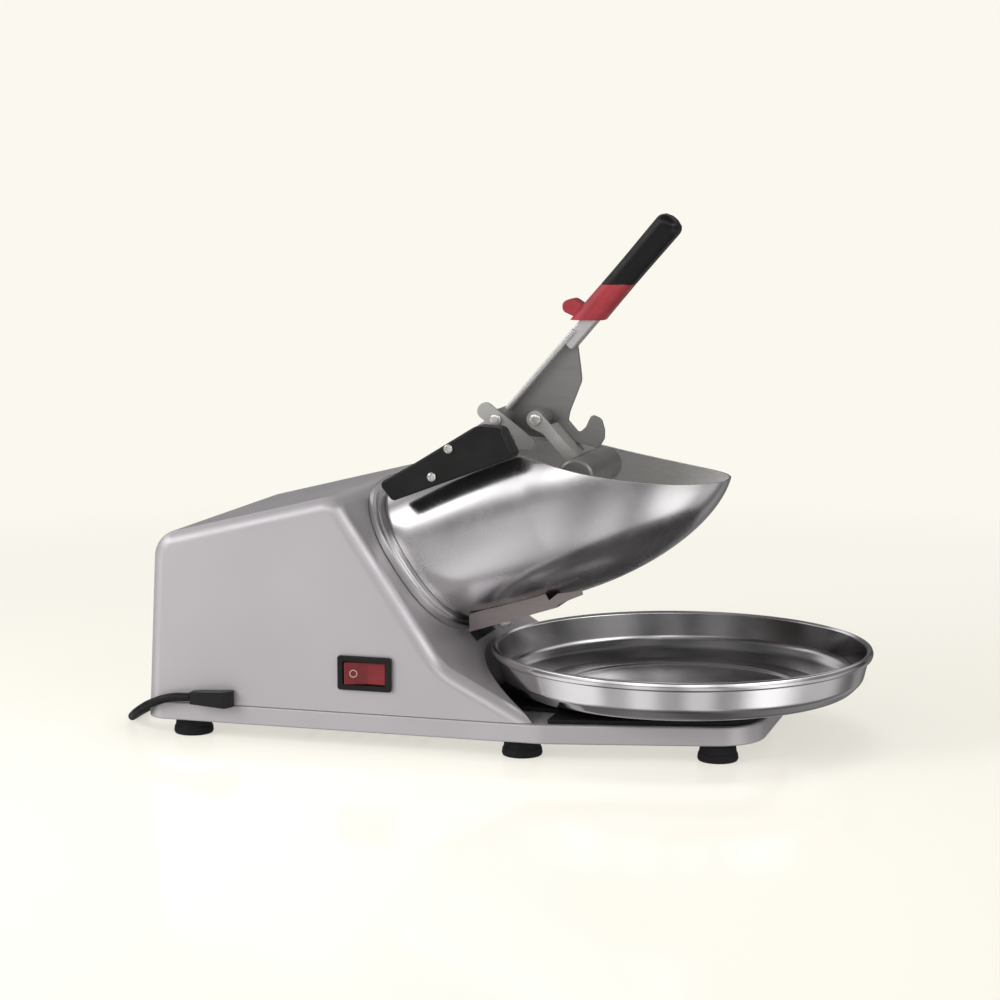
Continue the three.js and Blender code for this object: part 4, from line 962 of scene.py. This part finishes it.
# Brightness of the studio by the height of a direction, -1 to 1, in front of the object and behind it.
FRONT = [
    (-1.0, 0.1), (-0.9, 0.2), (-0.72, 0.8), (-0.4, 0.75), (-0.12, 0.6), (0.02, 0.5), (0.1, 0.26), (0.26, 0.3),
    (0.36, 0.7), (0.44, 2.0), (0.62, 2.0), (0.7, 0.4), (0.78, 0.14), (1.0, 0.3),
]
REAR = [
    (-1.0, 0.15), (-0.4, 0.35), (-0.1, 0.2), (0.05, 0.12), (0.35, 0.16), (0.45, 0.8), (0.55, 0.9), (0.64, 0.15),
    (1.0, 0.2),
]
# Its brightness from the rear end, -1, to the bowl end, 1: soft panels with darker gaps between them.
SIDEWAYS = [
    (-1.0, 0.4), (-0.8, 1.25), (-0.62, 1.3), (-0.5, 0.6), (-0.36, 0.7), (-0.25, 1.15), (-0.12, 1.05), (0.0, 0.6),
    (0.14, 0.5), (0.26, 0.95), (0.4, 0.9), (0.5, 0.4), (0.62, 0.6), (0.74, 1.7), (0.9, 1.7), (1.0, 0.8),
]


def make_world():
    """A cream backdrop, even light on matt surfaces, and a studio of soft panels for reflections."""
    world = bpy.data.worlds.new("studio")
    world.use_nodes = True
    scene.world = world
    tree = world.node_tree
    link = tree.links.new

    def node(kind, **values):
        made = tree.nodes.new(kind)
        for socket, value in values.items():
            place = made.inputs[socket.replace("_", " ")]
            if isinstance(value, bpy.types.NodeSocket):
                link(value, place)
            else:
                place.default_value = value
        return made

    def panels(value, stops):
        ramp = tree.nodes.new("ShaderNodeValToRGB")
        elements = ramp.color_ramp.elements
        for i, (position, shade) in enumerate(stops):
            element = elements[i] if i < 2 else elements.new(1)
            element.position = (position + 1) / 2
            element.color = (shade / 2, shade / 2, shade / 2, 1)
        shifted = node("ShaderNodeMapRange", Value=value, From_Min=-1.0, From_Max=1.0)
        link(shifted.outputs["Result"], ramp.inputs["Fac"])
        return ramp.outputs["Color"]

    def blend(factor, a, b, mode="MIX"):
        made = tree.nodes.new("ShaderNodeMix")
        made.data_type = "RGBA"
        made.blend_type = mode
        for socket, value in (("Factor", factor), ("A", a), ("B", b)):
            kind = "VALUE" if socket == "Factor" else "RGBA"
            place = next(p for p in made.inputs if p.name == socket and p.type == kind)
            if isinstance(value, bpy.types.NodeSocket):
                link(value, place)
            else:
                place.default_value = value
        return next(p for p in made.outputs if p.type == "RGBA")

    direction = node("ShaderNodeTexCoord").outputs["Generated"]
    split = node("ShaderNodeSeparateXYZ", Vector=direction)
    behind = node("ShaderNodeMapRange", Value=split.outputs["Y"], From_Min=-0.15, From_Max=0.15).outputs["Result"]
    height = blend(behind, panels(split.outputs["Z"], FRONT), panels(split.outputs["Z"], REAR))
    studio = blend(1.0, height, panels(split.outputs["X"], SIDEWAYS), "MULTIPLY")
    studio = blend(1.0, studio, (4.0, 3.95, 3.95, 1), "MULTIPLY")
    matt = blend(behind, cream(0.75), cream(0.4))
    above = node("ShaderNodeMapRange", Value=split.outputs["Z"], From_Min=0.45, From_Max=0.85).outputs["Result"]
    matt = blend(above, matt, cream(0.36))
    rays = tree.nodes.new("ShaderNodeLightPath")
    seen = blend(rays.outputs["Is Diffuse Ray"], studio, matt)
    seen = blend(rays.outputs["Is Camera Ray"], seen, cream(1))
    link(seen, tree.nodes["Background"].inputs["Color"])


def soft_light(name, place, towards, size, power):
    light = bpy.data.lights.new(name, "AREA")
    light.shape = "RECTANGLE"
    light.size, light.size_y = size
    light.energy = power
    made = bpy.data.objects.new(name, light)
    made.location = place
    made.visible_glossy = False
    made.rotation_euler = (Vector(towards) - Vector(place)).to_track_quat("-Z", "Y").to_euler()
    scene.collection.objects.link(made)


make_floor()
make_world()
soft_light("front_left", (-0.75, -0.8, 0.45), (-0.15, 0, 0.08), (0.5, 0.5), 8.2)
soft_light("overhead", (0.1, 0.2, 1.3), (0.0, 0, 0.05), (0.6, 0.6), 3)
